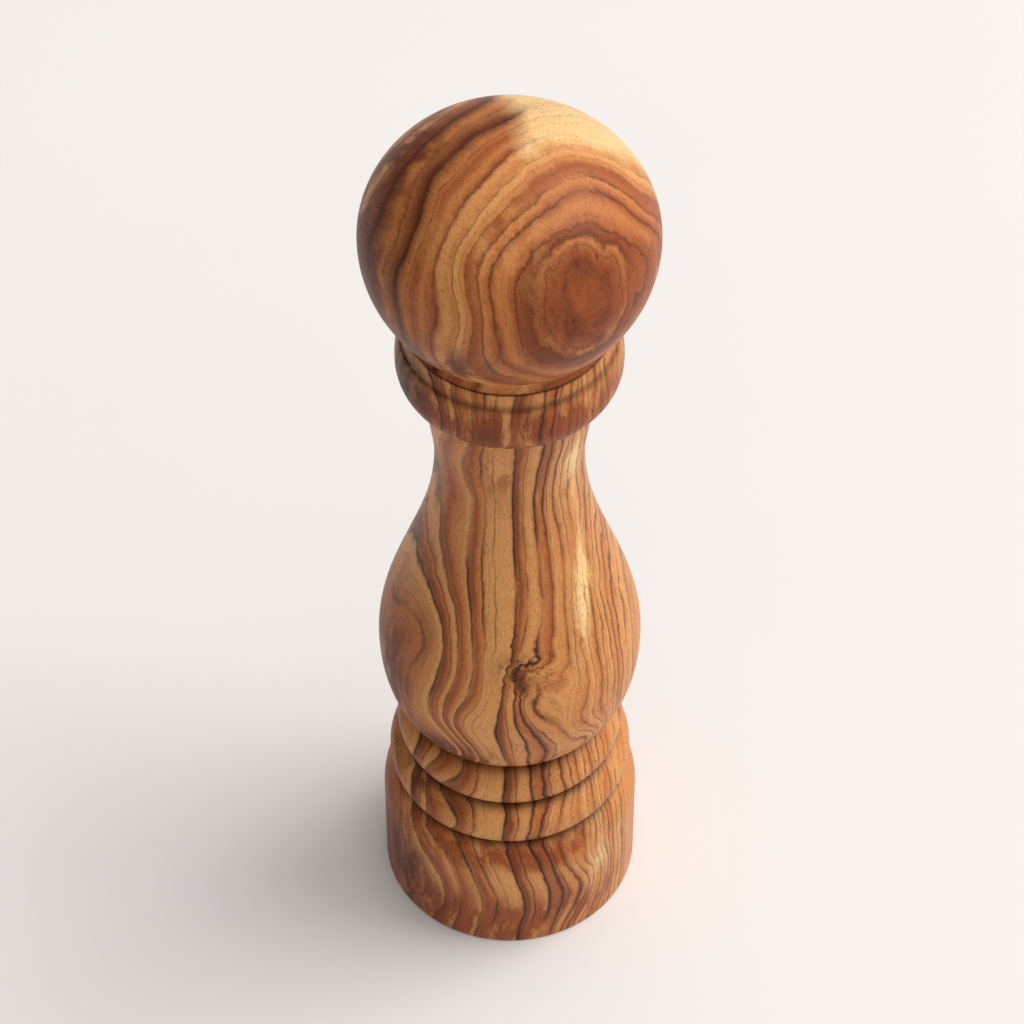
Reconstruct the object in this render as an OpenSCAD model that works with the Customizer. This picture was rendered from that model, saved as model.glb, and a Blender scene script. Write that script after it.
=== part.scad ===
// Wooden pepper mill with a push-fit ball head and a ceramic grinder that is set from below.
// The origin is the centre of the foot, on the surface that the mill stands on. +Z is up.
// Every turned outline is an [r, z] list that is swung about the Z axis.

/* [Base] */
// Diameter of the straight base
base_d = 58; // [54:0.5:72]
// Height of the base up to the first groove
base_h = 33.6; // [32:0.2:45]
// Height of the rounded shoulder at the top of the base
shoulder_h = 9; // [5:0.5:14]
// Radius of the worn edge around the foot
foot_edge_r = 0.6; // [0.2:0.1:1.5]

/* [Ring beads] */
// Diameter of the groove between the base and the lower bead
low_groove_d = 47.8; // [46:0.2:54]
// Diameter of the groove between the two beads
mid_groove_d = 41.8; // [38:0.2:50]
// Diameter of the groove between the upper bead and the belly
top_groove_d = 38.2; // [34:0.2:48]
// Height of each bead
bead_h = 11.4; // [9:0.2:15]
// Diameter of the lower bead
low_bead_d = 54.6; // [54:0.2:64]
// Diameter of the upper bead
top_bead_d = 50.8; // [50:0.2:62]

/* [Belly and neck] */
// Largest diameter of the belly
belly_d = 57.8; // [48:0.2:70]
// Height of the belly's widest place above the top groove
belly_rise = 23; // [18:0.5:32]
// Smallest diameter of the neck
neck_d = 31.6; // [31:0.2:40]
// Height of the neck's thinnest place above the belly's widest place
neck_rise = 59.4; // [48:0.2:75]
// Diameter where the neck meets the collar
neck_top_d = 37.2; // [36:0.2:46]
// Height of the flare from the neck's thinnest place to the collar
flare_rise = 21.2; // [16:0.2:28]

/* [Collar] */
// Largest diameter of the collar's bead
collar_d = 47; // [46.6:0.2:58]
// Height of the collar's bead
collar_h = 13.4; // [11:0.2:17]
// Diameter of the crease above the collar's bead
crease_d = 44.4; // [43.2:0.2:46.4]
// Height of the plain band above the crease
band_h = 3.4; // [2:0.2:6]
// Diameter of the seam between the body and the head
seam_d = 42.8; // [40:0.2:44]

/* [Head] */
// Diameter of the ball
ball_d = 60.4; // [50:0.2:74]
// Height of the ball's widest place above the seam
ball_rise = 23.5; // [19:0.5:30]
// Height of the ball above its widest place
ball_up = 25.3; // [21:0.5:32]
// Depth of the ball's lower half, were it not cut off by the cove
ball_down = 29; // [24:0.5:36]
// Smallest diameter of the cove between the ball and the seam
cove_d = 41; // [36:0.2:42.4]
// Height of the cove's thinnest place above the seam
cove_rise = 2; // [1.4:0.1:3]
// Diameter of the tenon that stands in the body's mouth
tenon_d = 25.8; // [25:0.2:31]
// Length of the tenon
tenon_h = 9.5; // [8:0.5:12]
// Thickness of the drive plate under the tenon
plate_t = 1; // [0.8:0.1:1.6]
// Wall of the nylon sleeve that grips the shaft
sleeve_wall = 2.4; // [2.2:0.1:3]

/* [Chamber] */
// Diameter of the peppercorn chamber
chamber_d = 24; // [20:0.5:29]
// Depth of the wider mouth that holds the neck ring
mouth_depth = 12; // [11:0.5:15]
// Wall of the neck ring
neck_ring_wall = 2; // [1.5:0.1:3]
// Width of the neck ring's flange beyond its wall
neck_flange_w = 1.6; // [1:0.1:2.4]
// Height by which the neck ring's flange stands out of the body and carries the head
seam_gap = 0.3; // [0.1:0.05:0.6]

/* [Drive shaft] */
// Diameter of the shaft's rod and journal
shaft_d = 6; // [5:0.1:7.2]
// Diameter of the threaded lower end
thread_d = 5; // [4:0.1:5.8]
// Rise of the thread in one turn
thread_pitch = 0.8; // [0.5:0.05:1.25]
// Height of the shaft's tip above the seam
tip_rise = 21; // [16:0.5:25]
// Depth of a groove turned in the shaft
shaft_groove = 0.55; // [0.4:0.05:0.8]
// Thickness of the clip that holds the shaft up
clip_t = 0.7; // [0.5:0.1:1]
// Thickness of each washer
washer_t = 0.6; // [0.4:0.1:0.9]
// Wall of the brass bush around the shaft
bush_wall = 1.6; // [1.2:0.1:2]
// Diameter of the spring ring's wire in the head
grip_wire_d = 1; // [0.8:0.1:1.2]

/* [Grinder] */
// Diameter of the grinding cone at its foot
cone_d = 25.4; // [22:0.2:30.6]
// Height of the grinding cone
cone_h = 11; // [10:0.5:14]
// Height of the finely toothed band at the cone's foot
fine_h = 3.5; // [2.5:0.5:5]
// Gap between the cone and the ring at the middle setting
grind_gap = 0.5; // [0.4:0.05:0.8]
// Wall of the ceramic ring outside the gap
grinder_ring_wall = 2; // [1.8:0.1:3]
// Height of the ceramic ring
grinder_ring_h = 12; // [11:0.5:15]
// Number of fine teeth on the cone
fine_teeth = 30; // [20:1:36]
// Number of fine teeth in the ceramic ring
ring_teeth = 27; // [20:1:36]
// Number of coarse feed grooves on the cone
feed_grooves = 6; // [4:1:8]
// Thickness of the hub's flange under the cone
hub_flange_t = 1.2; // [0.8:0.1:1.6]
// Width of a key that keeps the ceramic from turning
key_w = 3; // [2:0.5:4]
// Height of such a key
key_h = 0.9; // [0.6:0.1:1.2]
// Part of a turn that the dial turns each way from the middle setting
dial_turns = 0.75; // [0.25:0.25:1]

/* [Housing] */
// Wall of the housing
housing_wall = 1.9; // [1.6:0.1:3]
// Width of the flange around the housing, which takes the screws
flange_w = 5.4; // [5:0.2:7]
// Thickness of the flange
flange_t = 2; // [1.5:0.1:3]
// Depth of the recess under the base
recess_h = 8; // [7.5:0.5:10]
// Thickness of the steel base ring
base_ring_t = 1.2; // [0.8:0.1:2]
// Length of the spring at the middle setting
spring_l = 7.4; // [6:0.2:10]
// Diameter of the spring's wire
wire_d = 0.9; // [0.6:0.1:1.1]
// Height of the bridge
bridge_h = 4.8; // [4:0.2:7]
// Gap between the spring's wire and the shaft
coil_gap = 0.5; // [0.3:0.1:0.7]
// Width of each of the bridge's arms
arm_w = 3; // [2:0.5:5]

/* [Dial] */
// Diameter of the adjusting dial
dial_d = 22; // [18:0.5:24]
// Thickness of the adjusting dial
dial_t = 3.9; // [3.4:0.1:4.4]
// Number of finger scallops around the dial
scallops = 10; // [6:1:14]

/* [Screws] */
// Diameter of a base ring screw's shank
base_screw_d = 2.4; // [2:0.1:3]
// Length of a base ring screw's shank
base_screw_l = 10; // [8:0.5:14]
// Number of base ring screws
base_screws = 3; // [3:1:6]
// Diameter of a drive plate screw's shank
plate_screw_d = 1.8; // [1.6:0.1:2.2]
// Length of a drive plate screw's shank
plate_screw_l = 7; // [5:0.5:9]

/* [Clearances] */
// Radial clearance of a shaft in its bearing
run_fit = 0.05; // [0.02:0.01:0.09]
// Radial clearance of a piece seated in its pocket
seat_fit = 0.08; // [0.05:0.01:0.15]
// Clearance of the housing in the wood
wood_fit = 0.15; // [0.1:0.05:0.3]
// Distance that moving faces keep when nothing guides them
air = 0.6; // [0.4:0.1:1]

/* [Hidden] */
$fn = 96;
eps = 0.01;
curve_steps = 12;

// Heights of the turned outline, from the foot upwards
low_groove_z = base_h;
mid_groove_z = low_groove_z + bead_h;
top_groove_z = mid_groove_z + bead_h;
belly_z = top_groove_z + belly_rise;
neck_z = belly_z + neck_rise;
neck_top_z = neck_z + flare_rise;
crease_z = neck_top_z + collar_h;
seam_z = crease_z + band_h;
head_z = seam_z + seam_gap;
ball_z = seam_z + ball_rise;

// Shaft
shaft_r = shaft_d / 2;
lower_hex_r = shaft_r / cos(30);
shaft_neck_r = shaft_r - shaft_groove;
tip_z = seam_z + tip_rise;

// Small steps, edges and spare lengths
seat_edge = 0.4;
cone_top_wall = 2;
circle_shift = 0.3;
hub_rise = 1.4;
hub_clear = 0.6;
ledge_step = 0.4;
rim_rise = 0.4;
thread_spare = 0.2;
shaft_inset = 0.3;
hex_spare = 0.2;
tip_hex_drop = 6;
sleeve_fit = 0.3;
sleeve_inset = 3;
sleeve_spare = 1.5;
grip_drop = 6;
nut_wall = 2.2;
nut_inset = 0.8;
ring_clear = 0.8;
edge = 0.6;

// Grinder, from the shaft outwards
fine_slope = 20;
spring_in_r = lower_hex_r + coil_gap;
spring_out_r = spring_in_r + wire_d;
stem_r = spring_out_r + seat_edge;
cone_bore_r = stem_r + seat_fit;
cone_top_r = cone_bore_r + cone_top_wall;
cone_r = cone_d / 2;
waist_r = cone_r - fine_h * tan(fine_slope);
grinder_ring_r = cone_r + grind_gap + grinder_ring_wall;
housing_in_r = grinder_ring_r + seat_fit;
housing_r = housing_in_r + housing_wall;
mech_bore_r = housing_r + wood_fit;
flange_r = mech_bore_r + flange_w;
recess_r = flange_r + wood_fit;
screw_circle_r = mech_bore_r + flange_w / 2 + circle_shift;

// Heights of the grinder, from the foot upwards
ring_top_z = recess_h - flange_t;
ring_low_z = ring_top_z - base_ring_t;
cone_low_z = ring_top_z + air;
hub_low_z = cone_low_z - hub_flange_t;
dial_low_z = hub_low_z - dial_t;
cone_top_z = cone_low_z + cone_h;
hub_top_z = cone_top_z + hub_rise;
seat_top_z = hub_top_z + washer_t;
spring_top_z = seat_top_z + spring_l;
bridge_z = spring_top_z + washer_t;
bridge_top_z = bridge_z + bridge_h;
grinder_ring_top_z = ring_top_z + grinder_ring_h;
ledge_z = bridge_z + ledge_step;
clip_z = bridge_top_z + washer_t;
housing_top_z = bridge_top_z + rim_rise;
setting_travel = dial_turns * thread_pitch;
thread_top_z = hub_low_z + setting_travel + thread_spare;
shaft_low_z = dial_low_z + shaft_inset;

// Head
tenon_r = tenon_d / 2;
tenon_z = head_z - tenon_h;
mouth_r = tenon_r + run_fit + neck_ring_wall;
neck_flange_r = mouth_r + neck_flange_w;
neck_flange_t = 1.2;
plate_r = min(chamber_d / 2, tenon_r) - air;
plate_z = tenon_z - plate_t;
sleeve_in_r = shaft_r + sleeve_fit;
sleeve_r = sleeve_in_r + sleeve_wall;
sleeve_z = tenon_z + sleeve_inset;
sleeve_top_z = tip_z + sleeve_spare;
grip_z = tip_z - grip_drop;
plate_screw_circle_r = (sleeve_r + tenon_r - edge) / 2 - circle_shift;

// Cubic curve from a to d with handles b and c, without its first point
function curve(a, b, c, d) =
    [for (i = [1 : curve_steps])
        let (t = i / curve_steps, s = 1 - t)
        s * s * s * a + 3 * s * s * t * b + 3 * s * t * t * c + t * t * t * d];

// Arc of an ellipse from angle a0 to a1 about [x, z], with its first point
function arc(x, z, rx, rz, a0, a1, steps = curve_steps) =
    [for (i = [0 : steps]) let (a = a0 + (a1 - a0) * i / steps) [x + rx * cos(a), z + rz * sin(a)]];

// Half-round bead from groove radius r0 at z0 to r1 at z1, out to radius r
function bead(r0, z0, r1, z1, r, steps = curve_steps) =
    [for (i = [0 : steps])
        let (a = -90 + 180 * i / steps, root = a < 0 ? r0 : r1)
        [root + (r - root) * cos(a), (z0 + z1) / 2 + (z1 - z0) / 2 * sin(a)]];

// Outline of the body's outside from the foot to the seam
function base_line() = concat(
    [[base_d / 2 - foot_edge_r, 0]],
    arc(base_d / 2 - foot_edge_r, foot_edge_r, foot_edge_r, foot_edge_r, -60, 0, 2),
    arc(low_groove_d / 2, low_groove_z - shoulder_h, (base_d - low_groove_d) / 2, shoulder_h, 0, 90));
function beads_line() = concat(
    bead(low_groove_d / 2, low_groove_z + eps, mid_groove_d / 2, mid_groove_z, low_bead_d / 2),
    bead(mid_groove_d / 2, mid_groove_z + eps, top_groove_d / 2, top_groove_z, top_bead_d / 2));
belly_side = [belly_d / 2, belly_z];
neck_side = [neck_d / 2, neck_z];
neck_end = [neck_top_d / 2, neck_top_z];
function vase_line() = concat(
    curve([top_groove_d / 2, top_groove_z + eps],
          [top_groove_d / 2 + 0.245 * belly_rise, top_groove_z + 1.5],
          belly_side - [0, 0.58 * belly_rise], belly_side),
    curve(belly_side, belly_side + [0, 0.3 * neck_rise], neck_side - [0, 0.433 * neck_rise], neck_side),
    curve(neck_side, neck_side + [0, 0.234 * flare_rise], neck_end - [0, 0.07 * flare_rise], neck_end));
function collar_line() = concat(
    bead(neck_top_d / 2, neck_top_z + eps, crease_d / 2, crease_z, collar_d / 2),
    [[seam_d / 2, seam_z]]);

// The ball's lower half gives way to the cove at cove_a degrees from its widest place
cove_a = -40;
ball_r = ball_d / 2;
ball_cut = [ball_r * cos(cove_a), ball_z + ball_down * sin(cove_a)];
ball_way = [-ball_r * sin(cove_a), ball_down * cos(cove_a)];
cove_side = [cove_d / 2, seam_z + cove_rise];

module turned(outline) {
    rotate_extrude() polygon(outline);
}

module ring(r_in, r_out, z, h) {
    translate([0, 0, z]) difference() {
        cylinder(r = r_out, h = h);
        translate([0, 0, -1]) cylinder(r = r_in, h = h + 2);
    }
}

// Hexagonal bar whose corners lie at radius r
module hex(r, z, h) {
    translate([0, 0, z]) cylinder(r = r, h = h, $fn = 6);
}

// Screw with its head down, its seat at the origin and its shank up
module screw(shank_d, length) {
    head_r = shank_d * 0.84;
    head_h = shank_d * 0.5;
    slot = shank_d * 0.16;
    crown = arc(head_r * 0.35, -head_h * 0.3, head_r * 0.65, head_h * 0.7, -90, 0, 5);
    difference() {
        union() {
            turned(concat([[0, 0], [0, -head_h]], crown, [[head_r, 0]]));
            turned([[0, -eps], [shank_d / 2, -eps], [shank_d / 2, length - shank_d], [0, length]]);
        }
        for (a = [0, 90])
            rotate(a) translate([-head_r * 0.55, -slot / 2, -head_h - 1])
                cube([head_r * 1.1, slot, 1 + head_h * 0.55]);
    }
}

module around(count, r, start = 90) {
    for (i = [0 : count - 1])
        rotate(start + 360 * i / count) translate([r, 0, 0]) children();
}

module mill_body() {
    rebate_r = neck_flange_r + seat_fit;
    socket_r = mouth_r + seat_fit;
    bore_top_z = housing_top_z + wood_fit;
    color("peru") difference() {
        turned(concat([[0, 0]], base_line(), beads_line(), vase_line(), collar_line(), [[0, seam_z]]));
        // Recess, counterbore, funnel, chamber and mouth
        turned([[0, -1], [recess_r, -1], [recess_r, recess_h], [mech_bore_r, recess_h],
                [mech_bore_r, bore_top_z], [chamber_d / 2, bore_top_z + mech_bore_r - chamber_d / 2],
                [chamber_d / 2, seam_z - mouth_depth], [socket_r, seam_z - mouth_depth],
                [socket_r, seam_z - neck_flange_t], [rebate_r, seam_z - neck_flange_t],
                [rebate_r, seam_z + 1], [0, seam_z + 1]]);
        around(base_screws, screw_circle_r)
            cylinder(d = base_screw_d + 2 * run_fit, h = ring_low_z + base_screw_l + 0.5, $fn = 24);
    }
}

module neck_ring() {
    color("ivory") turned([[tenon_r + run_fit, seam_z - mouth_depth], [mouth_r, seam_z - mouth_depth],
                           [mouth_r, seam_z - neck_flange_t], [neck_flange_r, seam_z - neck_flange_t],
                           [neck_flange_r, head_z], [tenon_r + run_fit, head_z]]);
}

module mechanism_housing() {
    lip_w = 1.6;
    lip_r = grinder_ring_r - lip_w;
    ledge_r = housing_r - housing_wall / 2;
    color("dimgray") difference() {
        turned([[lip_r, grinder_ring_top_z], [housing_in_r, grinder_ring_top_z],
                [housing_in_r, ring_top_z], [flange_r, ring_top_z], [flange_r, recess_h],
                [housing_r, recess_h], [housing_r, housing_top_z], [ledge_r, housing_top_z],
                [ledge_r, ledge_z], [housing_in_r, ledge_z],
                [housing_in_r, grinder_ring_top_z + 3], [lip_r, grinder_ring_top_z + 1.5]]);
        around(base_screws, screw_circle_r)
            cylinder(d = base_screw_d + 4 * run_fit, h = recess_h + 1, $fn = 24);
        around(3, housing_in_r, 30) translate([-key_h, -key_w / 2 - seat_fit, ring_top_z - 1])
            cube([2 * key_h + seat_fit, key_w + 2 * seat_fit, grinder_ring_h / 2 + 1 + seat_fit]);
    }
}

bridge_wall = 2;
arm_drop = 1.6;
bridge_ring_r = housing_r - housing_wall / 2 - seat_fit;
bridge_ring_in_r = bridge_ring_r - bridge_wall;
bush_r = shaft_r + run_fit + bush_wall;
bridge_hub_r = bush_r + bridge_wall;

module bearing_bridge() {
    color("dimgray") difference() {
        union() {
            ring(bridge_ring_in_r, bridge_ring_r, ledge_z, bridge_top_z - ledge_z);
            translate([0, 0, bridge_z]) cylinder(r = bridge_hub_r, h = bridge_h);
            around(3, 0, 60) translate([0, -arm_w / 2, ledge_z])
                cube([bridge_ring_in_r + 1, arm_w, bridge_h - arm_drop]);
        }
        translate([0, 0, bridge_z - 1]) cylinder(r = bush_r + seat_fit, h = bridge_h + 2);
    }
}

module shaft_bush() {
    color("goldenrod") ring(shaft_r + run_fit, bush_r, bridge_z, bridge_h);
}

// Line of the grinding gap at the middle setting, moved out by gap
function fine_line(gap) = [[cone_r + gap, cone_low_z], [waist_r + gap, cone_low_z + fine_h]];

// V-groove cutter along a sloping line from [r0, z0] to [r1, z1], of half-width w, leaning by lean degrees
module groove(r0, z0, r1, z1, w, lean) {
    length = norm([r1 - r0, z1 - z0]) + 3;
    translate([(r0 + r1) / 2, 0, (z0 + z1) / 2])
        rotate([lean, 0, 0]) rotate([0, atan2(r1 - r0, z1 - z0), 0])
            translate([0, 0, -length / 2]) cylinder(r = w, h = length, $fn = 4);
}

// Half-width and lean of each kind of groove
ring_tooth = [0.55, 12];
cone_tooth = [0.5, -14];
ring_feed = [1.1, -20];
cone_feed = [1.4, -24];

module grinder_ring() {
    fine = fine_line(grind_gap);
    throat_wall = 1.8;
    throat_r = grinder_ring_r - throat_wall;
    color("white") difference() {
        union() {
            turned([[fine[0].x + (cone_low_z - ring_top_z) * tan(fine_slope), ring_top_z],
                    [grinder_ring_r, ring_top_z], [grinder_ring_r, grinder_ring_top_z],
                    [throat_r, grinder_ring_top_z], fine[1]]);
            around(3, grinder_ring_r, 30) translate([-1, -key_w / 2, ring_top_z])
                cube([1 + key_h - seat_fit, key_w, grinder_ring_h / 2]);
        }
        around(ring_teeth, 0, 0)
            groove(fine[0].x, cone_low_z, fine[1].x, fine[1].y, ring_tooth[0], ring_tooth[1]);
        around(feed_grooves, 0, 15)
            groove(fine[1].x, fine[1].y + 2, throat_r, grinder_ring_top_z + 1,
                   ring_feed[0], ring_feed[1]);
    }
}

module grinder_cone() {
    fine = fine_line(0);
    color("white") difference() {
        turned([[cone_bore_r, cone_low_z], fine[0], fine[1], [cone_top_r, cone_top_z],
                [cone_bore_r, cone_top_z]]);
        around(fine_teeth, 0, 0)
            groove(fine[0].x, fine[0].y, fine[1].x, fine[1].y, cone_tooth[0], cone_tooth[1]);
        around(feed_grooves, 0, 0)
            groove(fine[1].x + 0.4, fine[1].y, cone_top_r + 0.4, cone_top_z, cone_feed[0], cone_feed[1]);
        for (s = [0, 1])
            rotate(180 * s) translate([cone_bore_r - 1, -key_w / 2 - seat_fit, cone_low_z - 1])
                cube([1 + key_h + seat_fit, key_w + 2 * seat_fit, cone_h / 2 + 1 + seat_fit]);
    }
}

module rotor_hub() {
    color("dimgray") difference() {
        union() {
            translate([0, 0, hub_low_z]) cylinder(r = waist_r - hub_clear, h = hub_flange_t);
            translate([0, 0, hub_low_z]) cylinder(r = stem_r, h = hub_top_z - hub_low_z);
            for (s = [0, 1])
                rotate(180 * s) translate([stem_r - 1, -key_w / 2, hub_low_z])
                    cube([1 + key_h, key_w, cone_low_z - hub_low_z + cone_h / 2]);
        }
        hex(lower_hex_r + seat_fit, hub_low_z - 1, hub_top_z - hub_low_z + 2);
    }
}

module spring_seat() {
    color("silver") difference() {
        translate([0, 0, hub_top_z]) cylinder(r = stem_r, h = washer_t);
        hex(lower_hex_r + seat_fit, hub_top_z - 1, washer_t + 2);
    }
}

spring_turns = 5.5;
spring_sides = 8;
spring_steps = 20;

// Height of the coil's centre line: the end turns lie close together, the others share the rest
function coil_z(u) =
    let (closed = 0.75, close_h = closed * (wire_d + 0.06), low = seat_top_z + wire_d / 2,
         open_h = spring_l - wire_d - 2 * close_h, open_turns = spring_turns - 2 * closed)
    u < closed ? low + close_h * u / closed
    : u > spring_turns - closed ? low + close_h + open_h + close_h * (u - spring_turns + closed) / closed
    : low + close_h + open_h * (u - closed) / open_turns;

module pressure_spring() {
    r = (spring_in_r + spring_out_r) / 2;
    last = spring_turns * spring_steps;
    points = [for (i = [0 : last], k = [0 : spring_sides - 1])
        let (u = i / spring_steps, a = 360 * u, b = 360 * k / spring_sides, q = r + wire_d / 2 * cos(b))
        [q * cos(a), q * sin(a), coil_z(u) + wire_d / 2 * sin(b)]];
    sides = [for (i = [0 : last - 1], k = [0 : spring_sides - 1])
        let (a = i * spring_sides + k, b = i * spring_sides + (k + 1) % spring_sides)
        [a, a + spring_sides, b + spring_sides, b]];
    ends = [[for (k = [0 : spring_sides - 1]) k],
            [for (k = [spring_sides - 1 : -1 : 0]) last * spring_sides + k]];
    color("silver") polyhedron(points, concat(sides, ends));
}

module spring_washer() {
    color("silver") ring(shaft_r + run_fit, spring_out_r + 0.8, spring_top_z, washer_t);
}

module thrust_washer() {
    color("silver") ring(shaft_r + run_fit, bush_r + 1.2, bridge_top_z, washer_t);
}

module shaft_clip() {
    color("gray") difference() {
        ring(shaft_neck_r + run_fit, shaft_r + 2, clip_z, clip_t);
        translate([0, -shaft_neck_r * 0.8, clip_z - 1]) cube([shaft_r + 3, shaft_neck_r * 1.6, clip_t + 2]);
    }
}

hex_top_z = spring_top_z - hex_spare;
tip_hex_z = plate_z - tip_hex_drop;

module drive_shaft() {
    neck = [[shaft_neck_r, clip_z], [shaft_neck_r, clip_z + clip_t + run_fit]];
    thread_r = thread_d / 2;
    core_r = shaft_r - 0.5;
    tip_l = tip_z - tip_hex_z + 1;
    color("silver") difference() {
        union() {
            turned([[0, shaft_low_z], [thread_r - 0.5, shaft_low_z], [thread_r, shaft_low_z + 0.5],
                    [thread_r, thread_top_z + 1], [core_r, thread_top_z + 1], [core_r, hex_top_z - 1],
                    [shaft_r, hex_top_z - 1], [shaft_r, clip_z], neck[0], neck[1], [shaft_r, neck[1].y],
                    [shaft_r, tip_hex_z], [0, tip_hex_z]]);
            hex(lower_hex_r, thread_top_z, hex_top_z - thread_top_z);
            // Hexagonal tip whose end is chamfered by a cone
            intersection() {
                hex(shaft_r, tip_hex_z - 1, tip_l);
                translate([0, 0, tip_hex_z - 1])
                    cylinder(r1 = shaft_r + tip_l - 1.5, r2 = shaft_r - 1.5, h = tip_l);
            }
        }
        ring(shaft_neck_r, shaft_r + 1, grip_z - grip_wire_d * 0.7, grip_wire_d * 1.4);
    }
}

module dial_nut() {
    color("goldenrod") difference() {
        hex(thread_d / 2 + nut_wall, dial_low_z + nut_inset, dial_t - nut_inset);
        translate([0, 0, dial_low_z]) cylinder(r = thread_d / 2 + run_fit, h = dial_t + 1);
    }
}

module adjusting_dial() {
    r = dial_d / 2;
    scallop_r = 2.4;
    scallop_out = 1.4;
    color("dimgray") difference() {
        turned([[0, dial_low_z], [r - edge, dial_low_z], [r, dial_low_z + edge], [r, hub_low_z - edge],
                [r - edge, hub_low_z], [0, hub_low_z]]);
        around(scallops, r + scallop_out)
            translate([0, 0, dial_low_z - 1]) cylinder(r = scallop_r, h = dial_t + 2, $fn = 32);
        hex(thread_d / 2 + nut_wall + seat_fit, dial_low_z + nut_inset, dial_t + 1);
        translate([0, 0, dial_low_z - 1]) cylinder(r = thread_d / 2 + edge, h = 3);
    }
}

module base_ring() {
    color("silver") difference() {
        ring(cone_r + grind_gap + ring_clear, flange_r, ring_low_z, base_ring_t);
        around(base_screws, screw_circle_r) translate([0, 0, ring_low_z - 1])
            cylinder(d = base_screw_d + 4 * run_fit, h = base_ring_t + 2, $fn = 24);
    }
}

module base_ring_screws() {
    color("silver") around(base_screws, screw_circle_r) translate([0, 0, ring_low_z])
        screw(base_screw_d, base_screw_l);
}

module head() {
    seam_side = [seam_d / 2, head_z];
    cove_pull = ball_way / norm(ball_way) * norm(ball_cut - cove_side) * 0.4;
    color("sienna") difference() {
        turned(concat([[0, tenon_z], [tenon_r - edge, tenon_z], [tenon_r, tenon_z + edge],
                       [tenon_r, head_z], seam_side],
                      curve(seam_side, seam_side + [0, 0.35], cove_side - [0, 0.9], cove_side),
                      curve(cove_side, cove_side + [0, 1.1], ball_cut - cove_pull, ball_cut),
                      arc(0, ball_z, ball_r, ball_down, cove_a + 3, 0),
                      arc(0, ball_z, ball_r, ball_up, 5, 90, 17)));
        translate([0, 0, tenon_z - 1])
            cylinder(r = sleeve_r + seat_fit, h = sleeve_top_z - tenon_z + 1.5);
        around(2, plate_screw_circle_r, 0) translate([0, 0, tenon_z - 1])
            cylinder(d = plate_screw_d + 2 * run_fit, h = plate_screw_l + 1, $fn = 24);
    }
}

module drive_plate() {
    color("silver") difference() {
        translate([0, 0, plate_z]) cylinder(r = plate_r, h = plate_t);
        hex(shaft_r + seat_fit, plate_z - 1, plate_t + 2);
        around(2, plate_screw_circle_r, 0) translate([0, 0, plate_z - 1])
            cylinder(d = plate_screw_d + 4 * run_fit, h = plate_t + 2, $fn = 24);
    }
}

module drive_plate_screws() {
    color("silver") around(2, plate_screw_circle_r, 0) translate([0, 0, plate_z])
        screw(plate_screw_d, plate_screw_l);
}

module grip_sleeve() {
    lip = grip_wire_d * 0.7;
    color("ivory") difference() {
        ring(sleeve_in_r, sleeve_r, sleeve_z, sleeve_top_z - sleeve_z);
        ring(sleeve_in_r - 1, sleeve_in_r + grip_wire_d, grip_z - lip, 2 * lip);
    }
}

module grip_ring() {
    r = shaft_r + sleeve_fit / 2 + grip_wire_d / 2;
    opening = 3;
    color("silver") difference() {
        translate([0, 0, grip_z])
            rotate_extrude() translate([r, 0]) circle(d = grip_wire_d, $fn = 24);
        translate([0, -opening / 2, grip_z - 1]) cube([r + 2, opening, 2]);
    }
}

mill_body();
neck_ring();
mechanism_housing();
bearing_bridge();
shaft_bush();
grinder_ring();
base_ring();
base_ring_screws();
drive_shaft();
shaft_clip();
thrust_washer();
spring_washer();
pressure_spring();
spring_seat();
rotor_hub();
grinder_cone();
adjusting_dial();
dial_nut();
head();
drive_plate();
drive_plate_screws();
grip_sleeve();
grip_ring();
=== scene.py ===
# %% [markdown]
# # An olive wood pepper mill
# The real mill is two lathe-turned pieces of olive wood, a body and a ball head, around a small grinder
# that is screwed up into the foot. The CAD model holds every size, fit and joint. This script keeps its
# frame and gives the mill its looks: smooth turned wood, a figure that runs through the solid, and
# finishes for the steel, brass, nylon, plastic and ceramic inside.

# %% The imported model
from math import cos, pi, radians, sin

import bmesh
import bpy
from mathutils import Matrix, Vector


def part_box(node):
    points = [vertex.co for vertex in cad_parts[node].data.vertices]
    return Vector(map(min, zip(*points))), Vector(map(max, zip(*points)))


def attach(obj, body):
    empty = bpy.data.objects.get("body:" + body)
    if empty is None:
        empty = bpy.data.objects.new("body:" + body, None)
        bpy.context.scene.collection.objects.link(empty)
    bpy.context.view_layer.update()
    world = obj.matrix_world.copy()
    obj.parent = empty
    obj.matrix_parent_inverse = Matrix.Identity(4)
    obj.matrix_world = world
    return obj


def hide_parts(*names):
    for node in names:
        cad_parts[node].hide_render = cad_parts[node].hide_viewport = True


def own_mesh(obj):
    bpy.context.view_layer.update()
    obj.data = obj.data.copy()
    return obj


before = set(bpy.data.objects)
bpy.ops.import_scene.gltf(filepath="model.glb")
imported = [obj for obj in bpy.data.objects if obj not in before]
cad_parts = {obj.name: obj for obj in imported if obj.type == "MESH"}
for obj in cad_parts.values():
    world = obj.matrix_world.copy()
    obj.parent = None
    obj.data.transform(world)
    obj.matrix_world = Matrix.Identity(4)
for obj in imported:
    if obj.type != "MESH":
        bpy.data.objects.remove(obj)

# %% [markdown]
# ## Tools and units
# Blender works in metres and a lathe worker in millimetres, so one value turns one into the other.

MM = 0.001
scene = bpy.context.scene


def linked(name, data):
    """A new object in the scene that shows the given data."""
    made = bpy.data.objects.new(name, data)
    scene.collection.objects.link(made)
    return made


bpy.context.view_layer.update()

# %% [markdown]
# ## The camera
# The mill is seen from above its front, through a long lens that hardly narrows it towards the foot.
# A long lens far away keeps a tall, slim thing straight. Depth of field stays off, so that every view
# of the model is sharp.

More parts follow.
